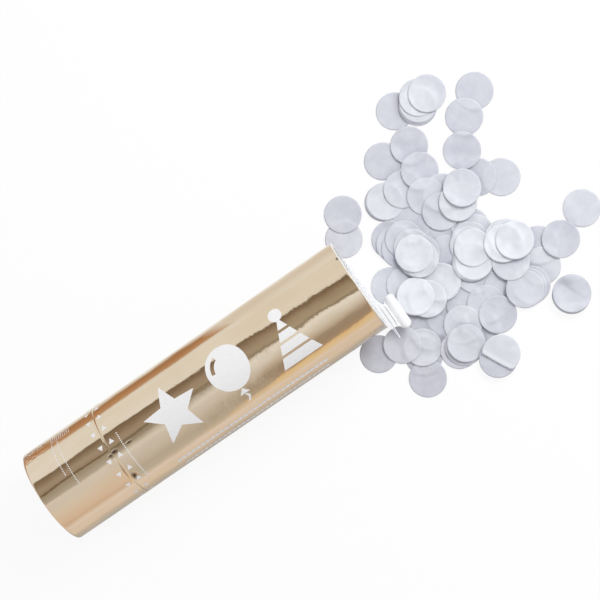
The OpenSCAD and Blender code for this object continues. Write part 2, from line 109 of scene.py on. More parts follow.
def link(name, data):
    """A new object at the origin."""
    piece = bpy.data.objects.new(name, data)
    bpy.context.scene.collection.objects.link(piece)
    return piece


camera = link("camera", bpy.data.cameras.new("camera"))
camera.location = CAMERA_PLACE
camera.rotation_euler = CAMERA_TURN
camera.data.sensor_width = CAMERA_SENSOR
camera.data.lens = CAMERA_LENS
camera.data.clip_start = 10 * MM
bpy.context.scene.camera = camera
bpy.context.scene.view_settings.view_transform = "Standard"
print("camera: lens", CAMERA_LENS, "mm")

# %% [markdown]
# Node trees are built by a few small helpers, so that each finish reads as a list
# of its own steps. A value is either typed into a socket or wired to another node,
# and a helper works in the tree that its wired values come from.

# %% Helpers for node trees
OTHER_KINDS = ("GeometryNode", "FunctionNode", "NodeGroup")


def is_wired(value):
    return isinstance(value, bpy.types.NodeSocket)


def add_node(tree, kind, inputs=None, **settings):
    """One node with its settings and inputs. It is a shader node if its kind names no other."""
    node = tree.nodes.new(kind if kind.startswith(OTHER_KINDS) else "ShaderNode" + kind)
    for name, value in settings.items():
        setattr(node, name, value)
    for key, value in (inputs or {}).items():
        if is_wired(value):
            tree.links.new(value, node.inputs[key])
        else:
            node.inputs[key].default_value = value
    return node


def work_out(kind, *values, **settings):
    """The first output of a node that takes these values in its own order."""
    tree = next(value.id_data for value in values if is_wired(value))
    return add_node(tree, kind, dict(enumerate(values)), **settings).outputs[0]


def calc(operation, *values):
    """One sum on numbers."""
    return work_out("Math", *values, operation=operation)


def calc_vector(operation, *values):
    """One sum on vectors."""
    return work_out("VectorMath", *values, operation=operation)


plus, minus, times, over, times_plus = (
    partial(calc, operation) for operation in ("ADD", "SUBTRACT", "MULTIPLY", "DIVIDE", "MULTIPLY_ADD"))


def length_of(vector):
    return add_node(vector.id_data, "VectorMath", {0: vector}, operation="LENGTH").outputs["Value"]


def axes(vector):
    """The x, y and z of a vector."""
    return add_node(vector.id_data, "SeparateXYZ", {0: vector}).outputs[:]


def between(value, limits, **settings):
    """How far a value has come between two limits: from 0 to 1, or to and from what follows them."""
    return work_out("MapRange", value, *limits, clamp=True, **settings)


def ramp(factor, stops):
    """A colour ramp through stops of (place, colour)."""
    node = add_node(factor.id_data, "ValToRGB", {"Fac": factor})
    elements = node.color_ramp.elements
    while len(elements) < len(stops):
        elements.new(1.0)
    for element, (place, colour) in zip(elements, stops):
        element.position = place
        element.color = (*colour, 1.0)
    return node.outputs["Color"]


def mix_colour(factor, first, second):
    """One colour mixed into another."""
    first, second = (colour if is_wired(colour) else (*colour, 1.0) for colour in (first, second))
    return add_node(factor.id_data, "Mix", {0: factor, 6: first, 7: second}, data_type="RGBA").outputs[2]


def cloud(place, scale, detail, **others):
    """Cloudy noise from 0 to 1, with so many features to the unit of place."""
    inputs = {"Vector": place, "Scale": scale, "Detail": detail, **others}
    return add_node(place.id_data, "TexNoise", inputs).outputs[0]


def mirror_rays(tree):
    """1 for rays that only look, by camera, gloss or glass, and 1 for those by gloss alone."""
    path = add_node(tree, "LightPath").outputs
    looking = calc("MAXIMUM", path["Is Camera Ray"], path["Is Glossy Ray"])
    return calc("MAXIMUM", looking, path["Is Transmission Ray"]), path["Is Glossy Ray"]


# %% [markdown]
# Foil is a mirror, so it shows the studio more than itself. The photographer's
# cards stand as long bands beside the tube: one dark, the others cream and tan.
# Here the world holds those bands for mirror rays only, by their angle round the
# tube, and stays a plain soft light for everything else.

# %% Fill the studio with light
MIRROR_WHITE = (1.0, 1.0, 1.0)
# Band angle in degrees round X, from straight up towards +Y, and its colour in hundredths
GRIP_BANDS = [
    (-105, 93, 83, 79), (-93, 93, 84, 77), (-86, 84, 70, 60), (-81, 77, 60, 47), (-72, 85, 68, 55),
    (-56, 86, 73, 62), (-40, 85, 77, 68), (-24, 82, 78, 75), (-12, 84, 80, 76), (-8, 57, 52, 46),
    (2, 47, 42, 35), (10, 43, 37, 29), (11.5, 21, 15, 9), (14, 21, 15, 9), (15.5, 40, 33, 26),
    (25, 46, 37, 29), (36, 32, 25, 18), (46, 24, 17, 11), (48, 97, 96, 94), (100, 94, 92, 88)]
BARREL_BANDS = [
    (-105, 90, 80, 75), (-93, 86, 77, 71), (-87, 79, 71, 63), (-82, 65, 60, 53), (-64, 60, 56, 49),
    (-48, 70, 65, 58), (-32, 77, 73, 70), (-22, 81, 78, 76), (-14, 87, 85, 83), (-6, 66, 62, 57),
    (1, 42, 37, 31), (7, 38, 32, 25), (9, 25, 20, 14), (12, 26, 21, 14), (15, 45, 38, 29),
    (25, 42, 33, 25), (36, 30, 23, 16), (46, 22, 15, 9), (48, 97, 96, 94), (100, 94, 90, 84)]
MOUTH_BANDS = [
    (-112, 91, 84, 76), (-102, 92, 80, 66), (-90, 93, 76, 52), (-83, 93, 70, 42), (-80, 86, 61, 34),
    (-76, 50, 38, 27), (-62, 43, 34, 26), (-49, 44, 36, 28), (-37, 66, 58, 50), (-22, 83, 79, 74),
    (-10, 92, 91, 89), (-2, 100, 100, 100), (2, 98, 95, 91), (4, 34, 28, 21), (7, 34, 28, 21),
    (10, 50, 43, 32), (27, 43, 35, 26), (38, 30, 22, 15), (46, 20, 14, 9), (48, 95, 92, 86),
    (100, 92, 88, 80)]
BAND_LOW, BAND_HIGH = -180, 180
# Slant of the bands: how far they turn from the grip to the mouth, in degrees.
# The low ones turn the other way, so the slant changes over a span of band angles.
BAND_SLANT = 13.5
LOW_SLANT = -10
SLANT_SPAN = (-72, -12)
# How far a mirrored ray leans along the tube where the cards change
SLANT_LEANS = (-0.14, -0.02)
MOUTH_LEANS = (-0.158, -0.095)
GRIP_LEANS = (-0.236, -0.230)
AMBIENT = 0.59
AMBIENT_TINT = (0.96, 0.952, 1.0)
# The soft box: its power in watts, its side, and its place from the middle of the spill
KEY_WATTS, KEY_SIZE, KEY_AWAY = 6.2, 0.42, 0.9
KEY_WAY = Vector((0.78, 0.32, 0.95)).normalized()
SPILL_MIDDLE = Vector((MOUTH_X + 40 * MM, AXIS_Y, 0))


def tone_ramp(share, low, high, stops):
    """The tone at a share of the way from low to high, through stops in hundredths."""
    return ramp(share, [((place - low) / (high - low), [part / 100 for part in tone])
                        for place, *tone in stops])


def light_the_world():
    """White to the camera, banded to the foil and soft to the rest."""
    world = bpy.data.worlds.new("studio")
    world.use_nodes = True
    tree = world.node_tree
    tree.nodes.clear()
    x, y, z = axes(add_node(tree, "TexCoord").outputs["Generated"])
    angle = calc("DEGREES", calc("ARCTAN2", y, z))
    lean = over(x, calc("SQRT", plus(times(y, y), times(z, z))))
    turn = times_plus(between(angle, SLANT_SPAN), BAND_SLANT - LOW_SLANT, LOW_SLANT)
    slanted = times_plus(between(lean, SLANT_LEANS), turn, angle)
    share = over(minus(slanted, BAND_LOW), BAND_HIGH - BAND_LOW)
    grip, barrel, mouth = (tone_ramp(share, BAND_LOW, BAND_HIGH, bands)
                           for bands in (GRIP_BANDS, BARREL_BANDS, MOUTH_BANDS))
    bands = mix_colour(between(lean, GRIP_LEANS), grip, mix_colour(between(lean, MOUTH_LEANS), barrel, mouth))
    looking, glossy = mirror_rays(tree)
    seen = add_node(tree, "Background", {"Color": mix_colour(glossy, MIRROR_WHITE, bands), "Strength": 1.0})
    soft = add_node(tree, "Background", {"Color": (*AMBIENT_TINT, 1.0), "Strength": AMBIENT})
    mixed = work_out("MixShader", looking, soft.outputs[0], seen.outputs[0])
    add_node(tree, "OutputWorld", {"Surface": mixed})
    bpy.context.scene.world = world


def soft_lamp(name, watts, size, place, aim):
    """A square soft box that lights, but doesn't show in the foil."""
    lamp = bpy.data.lights.new(name, "AREA")
    lamp.energy = watts
    lamp.shape = "SQUARE"
    lamp.size = size
    box = link(name, lamp)
    box.location = place
    box.rotation_euler = (aim - place).to_track_quat("-Z", "Y").to_euler()
    box.visible_glossy = False


light_the_world()
soft_lamp("key_lamp", KEY_WATTS, KEY_SIZE, SPILL_MIDDLE + KEY_WAY * KEY_AWAY, SPILL_MIDDLE)
print("light: world", AMBIENT, "and one soft box")

# %% [markdown]
# The floor is a plain white sweep. Seen by the camera it is paper white with a
# faint shadow left in it. The foil's lower half mirrors it, so for mirror rays it
# carries warm tones on both sides of the tube, by distance from the axis.

# %% Lay the floor
FLOOR_SIZE = 3.0
FLOOR_DROP = 0.05 * MM
FLOOR_PAPER = (0.92, 0.92, 0.93)
SHADOW_LEFT = 0.10
# Between these distances from the middle even that faint shadow fades out, so the
# sweep runs into the white background
SHADOW_ENDS = (0.35, 1.2)
# The tones' reach from the tube's axis, in millimetres
FLOOR_REACH = 600
# Those tones are mottled: how far they wander, and how many patches a metre holds
MOTTLE_SIZE, MOTTLE_SCALE = 26 * MM, 60.0
# Where the tones on the far side change towards the mouth
MOUTH_TONES_FROM, MOUTH_TONES_TO = MOUTH_X - 90 * MM, MOUTH_X - 76 * MM
# Distance from the tube's axis in millimetres, and the tone there in hundredths
FAR_SIDE_TONES = [
    (0, 100, 100, 100), (38, 100, 100, 100), (46, 86, 80, 72), (56, 70, 60, 50), (62, 46, 26, 15),
    (90, 54, 28, 13), (170, 64, 40, 25), (230, 92, 90, 86), (600, 95, 93, 90)]
FAR_MOUTH_TONES = [
    (0, 100, 100, 100), (40, 100, 100, 100), (50, 86, 80, 72), (75, 84, 77, 70), (170, 92, 89, 84),
    (600, 95, 93, 90)]
NEAR_SIDE_TONES = [
    (0, 48, 46, 44), (37, 51, 49, 46), (52, 60, 55, 50), (68, 72, 63, 55), (94, 87, 76, 66),
    (600, 93, 83, 79)]


def lay_floor():
    """A square sweep just under the discs."""
    mesh = bpy.data.meshes.new("floor")
    half = FLOOR_SIZE / 2
    corners = [(-half, -half), (half, -half), (half, half), (-half, half)]
    mesh.from_pydata([(x, y, -FLOOR_DROP) for x, y in corners], [], [(0, 1, 2, 3)])
    floor = link("floor", mesh)
    material = bpy.data.materials.new("sweep")
    material.use_nodes = True
    tree = material.node_tree
    tree.nodes.clear()
    spot = add_node(tree, "TexCoord").outputs["Object"]
    x, y, _ = axes(spot)
    side = minus(y, AXIS_Y)
    wander = times(minus(cloud(spot, MOTTLE_SCALE, 2.0), 0.5), MOTTLE_SIZE)
    distance = over(plus(calc("ABSOLUTE", side), wander), FLOOR_REACH * MM)
    near, far, mouth = (tone_ramp(distance, 0, FLOOR_REACH, tones)
                        for tones in (NEAR_SIDE_TONES, FAR_SIDE_TONES, FAR_MOUTH_TONES))
    far = mix_colour(between(x, (MOUTH_TONES_FROM, MOUTH_TONES_TO)), far, mouth)
    tone = mix_colour(calc("GREATER_THAN", side, 0.0), near, far)
    looking, glossy = mirror_rays(tree)
    shown = add_node(tree, "Emission", {"Color": mix_colour(glossy, MIRROR_WHITE, tone), "Strength": 1.0})
    paper = add_node(tree, "BsdfDiffuse", {"Color": (*FLOOR_PAPER, 1.0)})
    white = times_plus(between(length_of(spot), SHADOW_ENDS), SHADOW_LEFT, 1.0 - SHADOW_LEFT)
    share = calc("MAXIMUM", times(looking, white), glossy)
    mixed = work_out("MixShader", share, paper.outputs[0], shown.outputs[0])
    add_node(tree, "OutputMaterial", {"Surface": mixed})
    mesh.materials.append(material)


lay_floor()
print("floor:", FLOOR_SIZE, "m square")

# %% [markdown]
# Each finish starts from the same physically based shader. Its even values sit on
# the shader itself, and only what varies over the surface is wired: a tone from
# noise, and a relief from a finer noise.

# %% Helpers for finishes
# Noise keeps to the middle of its range, so tones and roughness run between these shares of it
TONE_PLACES, ROUGHNESS_PLACES = (0.35, 0.65), (0.3, 0.7)


def new_finish(name, colour, roughness, metallic=0.0, others=None):
    """A material with its shader's plain values set."""
    material = bpy.data.materials.new(name)
    material.use_nodes = True
    tree = material.node_tree
    shader = tree.nodes["Principled BSDF"]
    values = {"Base Color": (*colour, 1.0), "Roughness": roughness, "Metallic": metallic, **(others or {})}
    for label, value in values.items():
        shader.inputs[label].default_value = value
    return material, tree, shader


def tube_space(tree, stretch=(1.0, 1.0, 1.0)):
    """Object coordinates in millimetres from the base rim and the tube's axis."""
    place = add_node(tree, "TexCoord").outputs["Object"]
    centred = calc_vector("ADD", place, (-BASE_X, -AXIS_Y, -AXIS_Z))
    return calc_vector("MULTIPLY", centred, tuple(share / MM for share in stretch))


def noise(tree, scale, detail=3.0, stretch=(1.0, 1.0, 1.0)):
    """Cloudy noise from 0 to 1, with its scale in features a millimetre."""
    return cloud(tube_space(tree, stretch), scale, detail)


def wire(value, shader, label):
    shader.id_data.links.new(value, shader.inputs[label])


def vary_roughness(shader, factor, low, high):
    """The roughness drifts from low to high."""
    wire(between(factor, (*ROUGHNESS_PLACES, low, high)), shader, "Roughness")


def relief(shader, height, depth, strength=1.0):
    """A bump of that depth in millimetres."""
    inputs = {"Strength": strength, "Distance": depth * MM, "Height": height}
    wire(add_node(shader.id_data, "Bump", inputs).outputs[0], shader, "Normal")


def grained_finish(name, tones, roughness, marks, depth, grain=None, colour=None, metallic=0.0, drift=0.0,
                   gloss=None, others=None):
    """A finish whose tone follows its marks, and its relief too unless it has a finer grain.

    Marks, grain and gloss are noises, as (scale, detail, stretch). With a drift the
    roughness wanders by so much, after the gloss or else after the marks."""
    material, tree, shader = new_finish(name, colour or tones[1], roughness, metallic, others)
    marked = noise(tree, *marks)
    wire(ramp(marked, list(zip(TONE_PLACES, tones))), shader, "Base Color")
    if drift:
        vary_roughness(shader, noise(tree, *gloss) if gloss else marked, roughness - drift, roughness + drift)
    relief(shader, noise(tree, *grain) if grain else marked, depth)
    return material


def dress(material, *nodes):
    """CAD nodes that stay get their finish."""
    for node in nodes:
        mesh = frame["nodes"][node].data
        mesh.materials.clear()
        mesh.materials.append(material)
    print(material.name, "on", *nodes)


# %% [markdown]
# Champagne foil is a thin metal film on paper. It mirrors sharply along the tube,
# with a faint grain from the paper under it and a slight drift in its tone.

# %% Foil, paper and ink
# The film's own tone and roughness, and what each drifts between
FOIL_TONE, FOIL_TONES = (0.745, 0.650, 0.520), ((0.735, 0.635, 0.500), (0.765, 0.672, 0.545))
FOIL_ROUGHNESS, FOIL_ROUGHNESSES = 0.06, (0.045, 0.085)
# The foil is crinkled at the base rim: place, angle, size and stretch of that patch
CRINKLED = (3.0, 70.0, 12.0, 2.6)
# How deep its folds are. The deepest get painted shade in the creases: how deep it starts and ends, and its
# tone
FOLD_DEPTH = 0.6
CRINKLE_SHADE_LIMITS, CRINKLE_SHADE_TONE = (0.40, 0.56), (0.40, 0.27, 0.23)
# Where the foil is nicked, the dent is painted dark: painted shade in its hollow
NICK_DEPTH, NICK_SHADE_TONE = 0.16, (0.07, 0.05, 0.04)
# The paper's grain and the slow waves in the film, in millimetres
GRAIN_DEPTH, WAVE_DEPTH = 0.0024, 0.034
# The grip's foil is a sheet of its own, that lies a touch out of true
GRIP_TILT = 0.024
# Where each foil is nicked: place, angle, size and stretch
BARREL_DENTS = [(44.6, 0.4, 1.5, 2.0), (45.5, -36.3, 3.0, 0.8), (53.5, 0.0, 1.0, 2.6),
                (191.0, 39.5, 1.5, 0.8)]
GRIP_DENTS = [(41.9, -1.0, 1.2, 1.5)]


def dent(place, x, angle, size, stretch):
    """1 in the middle of a dent and 0 outside it; x and size in millimetres."""
    middle = on_tube(x * MM, math.radians(angle) * TUBE_R) - Vector((BASE_X, AXIS_Y, AXIS_Z))
    offset = calc_vector("SUBTRACT", place, tuple(middle / MM))
    squeezed = calc_vector("MULTIPLY", offset, (1 / stretch, 1.0, 1.0))
    return between(length_of(squeezed), (size, 0.0), interpolation_type="SMOOTHSTEP")


def foil_finish(name, tilt, dents):
    """Foil that may lie out of true by a tilt, with its dents."""
    material, tree, shader = new_finish(name, FOIL_TONE, FOIL_ROUGHNESS, 1.0)
    place = tube_space(tree)
    toned = ramp(noise(tree, 0.12, 3.0, (0.25, 1.0, 1.0)), list(zip(TONE_PLACES, FOIL_TONES)))
    vary_roughness(shader, noise(tree, 0.5), *FOIL_ROUGHNESSES)
    height = times(noise(tree, 2.4, 2.0), GRAIN_DEPTH)
    height = times_plus(noise(tree, 0.28, 2.0, (0.8, 0.9, 0.9)), WAVE_DEPTH, height)
    crinkles = times(noise(tree, 0.6, 2.0, (0.5, 1.0, 1.0)), dent(place, *CRINKLED))
    height = times_plus(crinkles, FOLD_DEPTH, height)
    # Painted shade: the deepest crinkles are coloured darker
    toned = mix_colour(between(crinkles, CRINKLE_SHADE_LIMITS), toned, CRINKLE_SHADE_TONE)
    height = times_plus(axes(place)[0], tilt, height)
    for spot in dents:
        nicked = dent(place, *spot)
        height = times_plus(nicked, -NICK_DEPTH, height)
        # Painted shade in each nick
        toned = mix_colour(nicked, toned, NICK_SHADE_TONE)
    wire(toned, shader, "Base Color")
    relief(shader, height, 1.0)
    return material


FOIL = foil_finish("champagne_foil", 0.0, BARREL_DENTS)
GRIP_FOIL = foil_finish("champagne_foil_of_the_grip", GRIP_TILT, GRIP_DENTS)
BACKING = grained_finish("foil_backing_paper", ((0.82, 0.81, 0.79), (0.88, 0.87, 0.85)), 0.8, (3.0,), 0.02,
                         grain=(6.0,), colour=(0.86, 0.85, 0.83))
INK = grained_finish("white_ink", ((0.82, 0.815, 0.80), (0.86, 0.855, 0.84)), 0.6, (1.2,), 0.003,
                     grain=(5.0,), colour=(0.84, 0.835, 0.82), others={"Specular IOR Level": 0.2})
print("finishes:", FOIL.name, BACKING.name, INK.name)

# %% [markdown]
# Each modifier result is turned into a plain mesh before it joins the frame. A geometry
# tree has a named input for every size, so one tree serves several pieces.

# %% Helpers for pieces
def make_plain(piece):
    """Modifiers become plain mesh."""
    graph = bpy.context.evaluated_depsgraph_get()
    mesh = bpy.data.meshes.new_from_object(piece.evaluated_get(graph), preserve_all_data_layers=True,
                                           depsgraph=graph)
    piece.modifiers.clear()
    piece.data = mesh


def thicken(piece, wall, offset=-1.0, inner_slot=0):
    """A sheet gets its wall, with its rim closed, and becomes plain mesh."""
    solid = piece.modifiers.new("wall", "SOLIDIFY")
    solid.thickness = wall
    solid.offset = offset
    solid.use_even_offset = False
    solid.material_offset = inner_slot
    make_plain(piece)


def to_piece(work, name, *materials):
    """An edited mesh becomes an object with its finishes."""
    mesh = bpy.data.meshes.new(name)
    work.to_mesh(mesh)
    work.free()
    for material in materials:
        mesh.materials.append(material)
    return link(name, mesh)


def new_tree(name, inputs):
    """A geometry tree with named inputs, and the socket that each name stands for."""
    tree = bpy.data.node_groups.new(name, "GeometryNodeTree")
    tree.interface.new_socket("Geometry", in_out="OUTPUT", socket_type="NodeSocketGeometry")
    for label, kind in inputs.items():
        tree.interface.new_socket(label, in_out="INPUT", socket_type="NodeSocket" + kind)
    return tree, add_node(tree, "NodeGroupInput").outputs


def then(geometry, kind, **inputs):
    """The next step on a tree's mesh."""
    return add_node(geometry.id_data, "GeometryNode" + kind, {0: geometry, **inputs}).outputs[0]


def hand_out(geometry, material):
    """A tree's last steps: nothing stays an instance, and the mesh is painted."""
    painted = then(then(geometry, "RealizeInstances"), "SetMaterial", Material=material)
    add_node(geometry.id_data, "NodeGroupOutput", {0: painted})


def round_place(x, turn, radius):
    """The place at x, turn and radius on the tube's axis."""
    return work_out("CombineXYZ", x, times_plus(calc("SINE", turn), radius, AXIS_Y),
                    times_plus(calc("COSINE", turn), radius, AXIS_Z))


def grow(name, tree, values):
    """An object that is made by a geometry tree, as a plain mesh."""
    piece = link(name, bpy.data.meshes.new(name))
    modifier = piece.modifiers.new("shape", "NODES")
    modifier.node_group = tree
    for item in tree.interface.items_tree:
        if item.in_out == "INPUT":
            modifier[item.identifier] = values[item.name]
    make_plain(piece)
    return piece


# %% [markdown]
# The foil wrap is one sheet rolled round the board, so a geometry tree rolls a
# flat grid into a tube. The film isn't perfectly flat: slow ripples in it bend the
# mirrored bands a little, which is what makes foil look like foil. Both cut ends
# are pressed down slightly towards the board.

# %% Roll the foil
FOIL_WALL = 0.06 * MM
# The skin lies this far inside the CAD foil's outside, so its ripples don't pass it
SKIN_DROP = 0.11 * MM
# The grid's points round the tube, and along the barrel and the grip
FOIL_COLUMNS, BARREL_ROWS, GRIP_ROWS = 193, 150, 50
# How high the ripples are, how many there are in a metre, and their stretch along the tube
RIPPLE, RIPPLES_A_METRE, RIPPLE_STRETCH = 0.17 * MM, 120.0, 0.5
# How far a cut end is pressed down, and over what width
EDGE_ROLL, ROLL_WIDTH = 0.004 * MM, 0.5 * MM
# The foil stops short of the mouth, so the board's white end shows
BARE_RIM = 0.35 * MM
# At the seam both skins reach a little into the gap
SEAM_REACH = 0.18 * MM
# The sheet's two long edges meet, and points so close become one
MERGE_WITHIN = 0.01 * MM


def foil_tree():
    """A grid is rolled round the axis, with its ripples and its pressed ends."""
    tree, given = new_tree("rolled_foil", {
        "Start": "Float", "Length": "Float", "Radius": "Float", "Rows": "Int", "Columns": "Int",
        "Ripple": "Float", "Ripples a Metre": "Float", "Edge Roll": "Float", "Roll Width": "Float",
        "Material": "Material"})
    grid = add_node(tree, "GeometryNodeMeshGrid", {
        "Size X": given["Length"], "Size Y": math.tau, "Vertices X": given["Rows"],
        "Vertices Y": given["Columns"]})
    x, turn, _ = axes(add_node(tree, "GeometryNodeInputPosition").outputs[0])
    start, flat_radius, half = given["Start"], given["Radius"], over(given["Length"], 2.0)
    spot = work_out("CombineXYZ", times(plus(x, start), RIPPLE_STRETCH),
                    times(calc("SINE", turn), flat_radius), times(calc("COSINE", turn), flat_radius))
    wave = cloud(spot, given["Ripples a Metre"], 1.2, Roughness=0.45)
    edge = over(minus(half, calc("ABSOLUTE", x)), given["Roll Width"])
    rolled = calc("POWER", minus(1.0, calc("MINIMUM", edge, 1.0)), 2.0)
    lifted = times_plus(minus(wave, 0.5), given["Ripple"], flat_radius)
    there = round_place(plus(plus(x, start), half), turn, minus(lifted, times(rolled, given["Edge Roll"])))
    moved = then(grid.outputs[0], "SetPosition", Position=there)
    closed = then(moved, "MergeByDistance", Distance=MERGE_WITHIN)
    hand_out(then(closed, "SetShadeSmooth"), given["Material"])
    return tree


ROLLED_FOIL = foil_tree()


def roll_foil(name, node, rows, material, start_reach, end_reach):
    """The foil skin that stands for a CAD foil sleeve, with how far it runs past each end."""
    low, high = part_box(node)
    skin = grow(name, ROLLED_FOIL, {
        "Start": low.x - start_reach, "Length": high.x - low.x + start_reach + end_reach,
        "Radius": TUBE_R - SKIN_DROP, "Rows": rows, "Columns": FOIL_COLUMNS,
        "Ripple": RIPPLE, "Ripples a Metre": RIPPLES_A_METRE, "Edge Roll": EDGE_ROLL,
        "Roll Width": ROLL_WIDTH, "Material": material})
    skin.data.materials.append(BACKING)
    thicken(skin, FOIL_WALL, inner_slot=1)
    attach(skin, frame["nodes"][node]["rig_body"])
    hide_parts(node)
    print(name, len(skin.data.polygons), "faces")
    return skin


BARREL_SKIN = roll_foil("barrel_skin", "barrel_foil", BARREL_ROWS, FOIL, SEAM_REACH, -BARE_RIM)
GRIP_SKIN = roll_foil("grip_skin", "grip_foil", GRIP_ROWS, GRIP_FOIL, 0.0, SEAM_REACH)

# %% [markdown]
# White print lies on the foil. Rows of small marks are one flat row in a geometry
# tree, wrapped round the tube: twist arrows are three-sided marks, dots have ten
# sides. Shrinkwrap then lays them on the rippled skin.

# %% Helpers for print
INK_WALL = 0.02 * MM
# The print stands clear of the ripples between its own points
INK_LIFT = 0.035 * MM


def marks_tree():
    """A flat row of marks is cut fine and wrapped round the tube."""
    tree, given = new_tree("printed_row", {
        "Start": "Vector", "Step": "Vector", "Count": "Int", "Mark Radius": "Float", "Mark Sides": "Int",
        "Fineness": "Int", "Mark Turn": "Vector", "Tube Radius": "Float", "Material": "Material"})
    line = add_node(tree, "GeometryNodeMeshLine", {
        "Count": given["Count"], "Start Location": given["Start"], "Offset": given["Step"]}, mode="OFFSET")
    mark = add_node(tree, "GeometryNodeMeshCircle", {
        "Vertices": given["Mark Sides"], "Radius": given["Mark Radius"]}, fill_type="NGON")
    turned = work_out("FunctionNodeEulerToRotation", given["Mark Turn"])
    placed = then(line.outputs[0], "InstanceOnPoints", Instance=mark.outputs[0], Rotation=turned)
    fine = then(then(placed, "RealizeInstances"), "SubdivideMesh", Level=given["Fineness"])
    x, arc, _ = axes(add_node(tree, "GeometryNodeInputPosition").outputs[0])
    there = round_place(plus(x, BASE_X), over(arc, given["Tube Radius"]), given["Tube Radius"])
    hand_out(then(fine, "SetPosition", Position=there), given["Material"])
    return tree


PRINTED_ROW = marks_tree()


def arc_mm(degrees):
    """The arc round the skin for an angle from the top."""
    return math.radians(degrees) * TUBE_R / MM


def print_row(name, x, angle, step, count, radius, sides=10, turn=0.0, fineness=1):
    """A row of marks from x and an angle, by steps along the tube and round it in millimetres."""
    return grow(name, PRINTED_ROW, {
        "Start": (x * MM, arc_mm(angle) * MM, 0.0), "Step": (*[value * MM for value in step], 0.0),
        "Count": count, "Mark Radius": radius * MM, "Mark Sides": sides, "Fineness": fineness,
        "Mark Turn": (0.0, 0.0, math.radians(turn)), "Tube Radius": TUBE_R, "Material": INK})


def lay_on_skin(pieces, name, skin, body):
    """Print becomes one mesh, is laid on the foil, gets its film of ink, and rides with it."""
    whole = bmesh.new()
    for piece in pieces:
        whole.from_mesh(piece.data)
        bpy.data.objects.remove(piece)
    film = to_piece(whole, name, INK)
    wrap = film.modifiers.new("lie", "SHRINKWRAP")
    wrap.target = skin
    wrap.wrap_method = "NEAREST_SURFACEPOINT"
    wrap.wrap_mode = "ABOVE_SURFACE"
    wrap.offset = INK_LIFT
    thicken(film, INK_WALL, offset=0.0)
    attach(film, body)
    print(name, len(film.data.polygons), "faces")


# %% [markdown]
# The bold print on the front is a row of generic party motifs: a star, a balloon
# and a party hat. Each is an outline in millimetres, filled, cut into small faces
# so that it can bend, and wrapped on the tube.

# %% Draw the motifs
def ellipse_points(up, across_reach, up_reach, turns):
    """Points on an ellipse at these turns, its middle so far up."""
    return [(across_reach * math.cos(turn), up + up_reach * math.sin(turn)) for turn in turns]


def round_turns(count):
    """A full turn in equal steps."""
    return [math.tau * k / count for k in range(count)]


def hat_band(low, high):
    """A band of the hat, whose sides draw together upwards."""
    wide, narrow = (HAT_LEAN * (HAT_TIP - level) for level in (low, high))
    return [(-wide, low), (wide, low), (narrow, high), (-narrow, high)]


STAR_ARMS, STAR_REACHES = 5, (16.0, 7.2)
STAR = [[ellipse_points(0.5, reach, reach, [math.pi / 2 + math.pi * k / STAR_ARMS])[0]
         for k, reach in enumerate(STAR_REACHES * STAR_ARMS)]]
SHINE_TURNS = [math.radians(angle) for angle in range(115, 176, 6)]
BALLOON = [
    ellipse_points(4.0, 11.2, 12.4, round_turns(40)),
    [(0.2, -8.9), (2.8, -12.0), (-2.8, -12.0), (-0.2, -8.9)],
    [(-0.6, -12.5), (0.6, -12.5), (1.7, -14.0), (1.2, -15.6), (0.0, -17.4), (-1.2, -17.2), (0.1, -15.4),
     (0.5, -14.2)],
    ellipse_points(4.0, 8.6, 9.6, SHINE_TURNS) + ellipse_points(4.0, 6.6, 7.4, SHINE_TURNS[::-1])]
# How far the hat's sides lean in to a millimetre of height, and how high they would meet
HAT_LEAN, HAT_TIP = 10.4 / 23.0, 11.0
HAT = [hat_band(*levels) for levels in ((-14.5, -8.4), (-7.0, -2.2), (-0.8, 3.4), (4.8, 9.0))]
HAT.append(ellipse_points(12.6, 3.6, 3.6, round_turns(24)))
MOTIF_ANGLE = -3
# The cuts are a millimetre apart, this far out, and shifted so that none meets a corner
CUT_REACH, CUT_SHIFT = 18, 0.013


def motif(name, loops, x):
    """A filled outline wrapped on the tube, its middle at x."""
    work = bmesh.new()
    for loop in loops:
        corners = [work.verts.new((u, v, 0.0)) for u, v in loop]
        for k, corner in enumerate(corners):
            work.edges.new((corner, corners[(k + 1) % len(corners)]))
    bmesh.ops.triangle_fill(work, use_beauty=True, edges=work.edges[:])
    for normal in ((1, 0, 0), (0, 1, 0)):
        for cut in range(-CUT_REACH, CUT_REACH + 1):
            bmesh.ops.bisect_plane(work, geom=work.verts[:] + work.edges[:] + work.faces[:],
                                   plane_co=Vector(normal) * (cut + CUT_SHIFT), plane_no=normal)
    for vert in work.verts:
        vert.co = on_tube((x + vert.co.x) * MM, (arc_mm(MOTIF_ANGLE) + vert.co.y) * MM)
    bmesh.ops.recalc_face_normals(work, faces=work.faces[:])
    for face in work.faces:
        outwards = face.calc_center_median() - Vector((0, AXIS_Y, AXIS_Z))
        outwards.x = 0
        if face.normal.dot(outwards) < 0:
            face.normal_flip()
    return to_piece(work, name)


motifs = [motif("star", STAR, 80.5), motif("balloon", BALLOON, 115.5), motif("hat", HAT, 149.5)]
print("motifs:", [piece.name for piece in motifs])

# %% [markdown]
# Rows of fine dots run along the foil and round it. Beside the seam, arrows on the
# barrel and on the grip point opposite ways, to show which way each is turned.

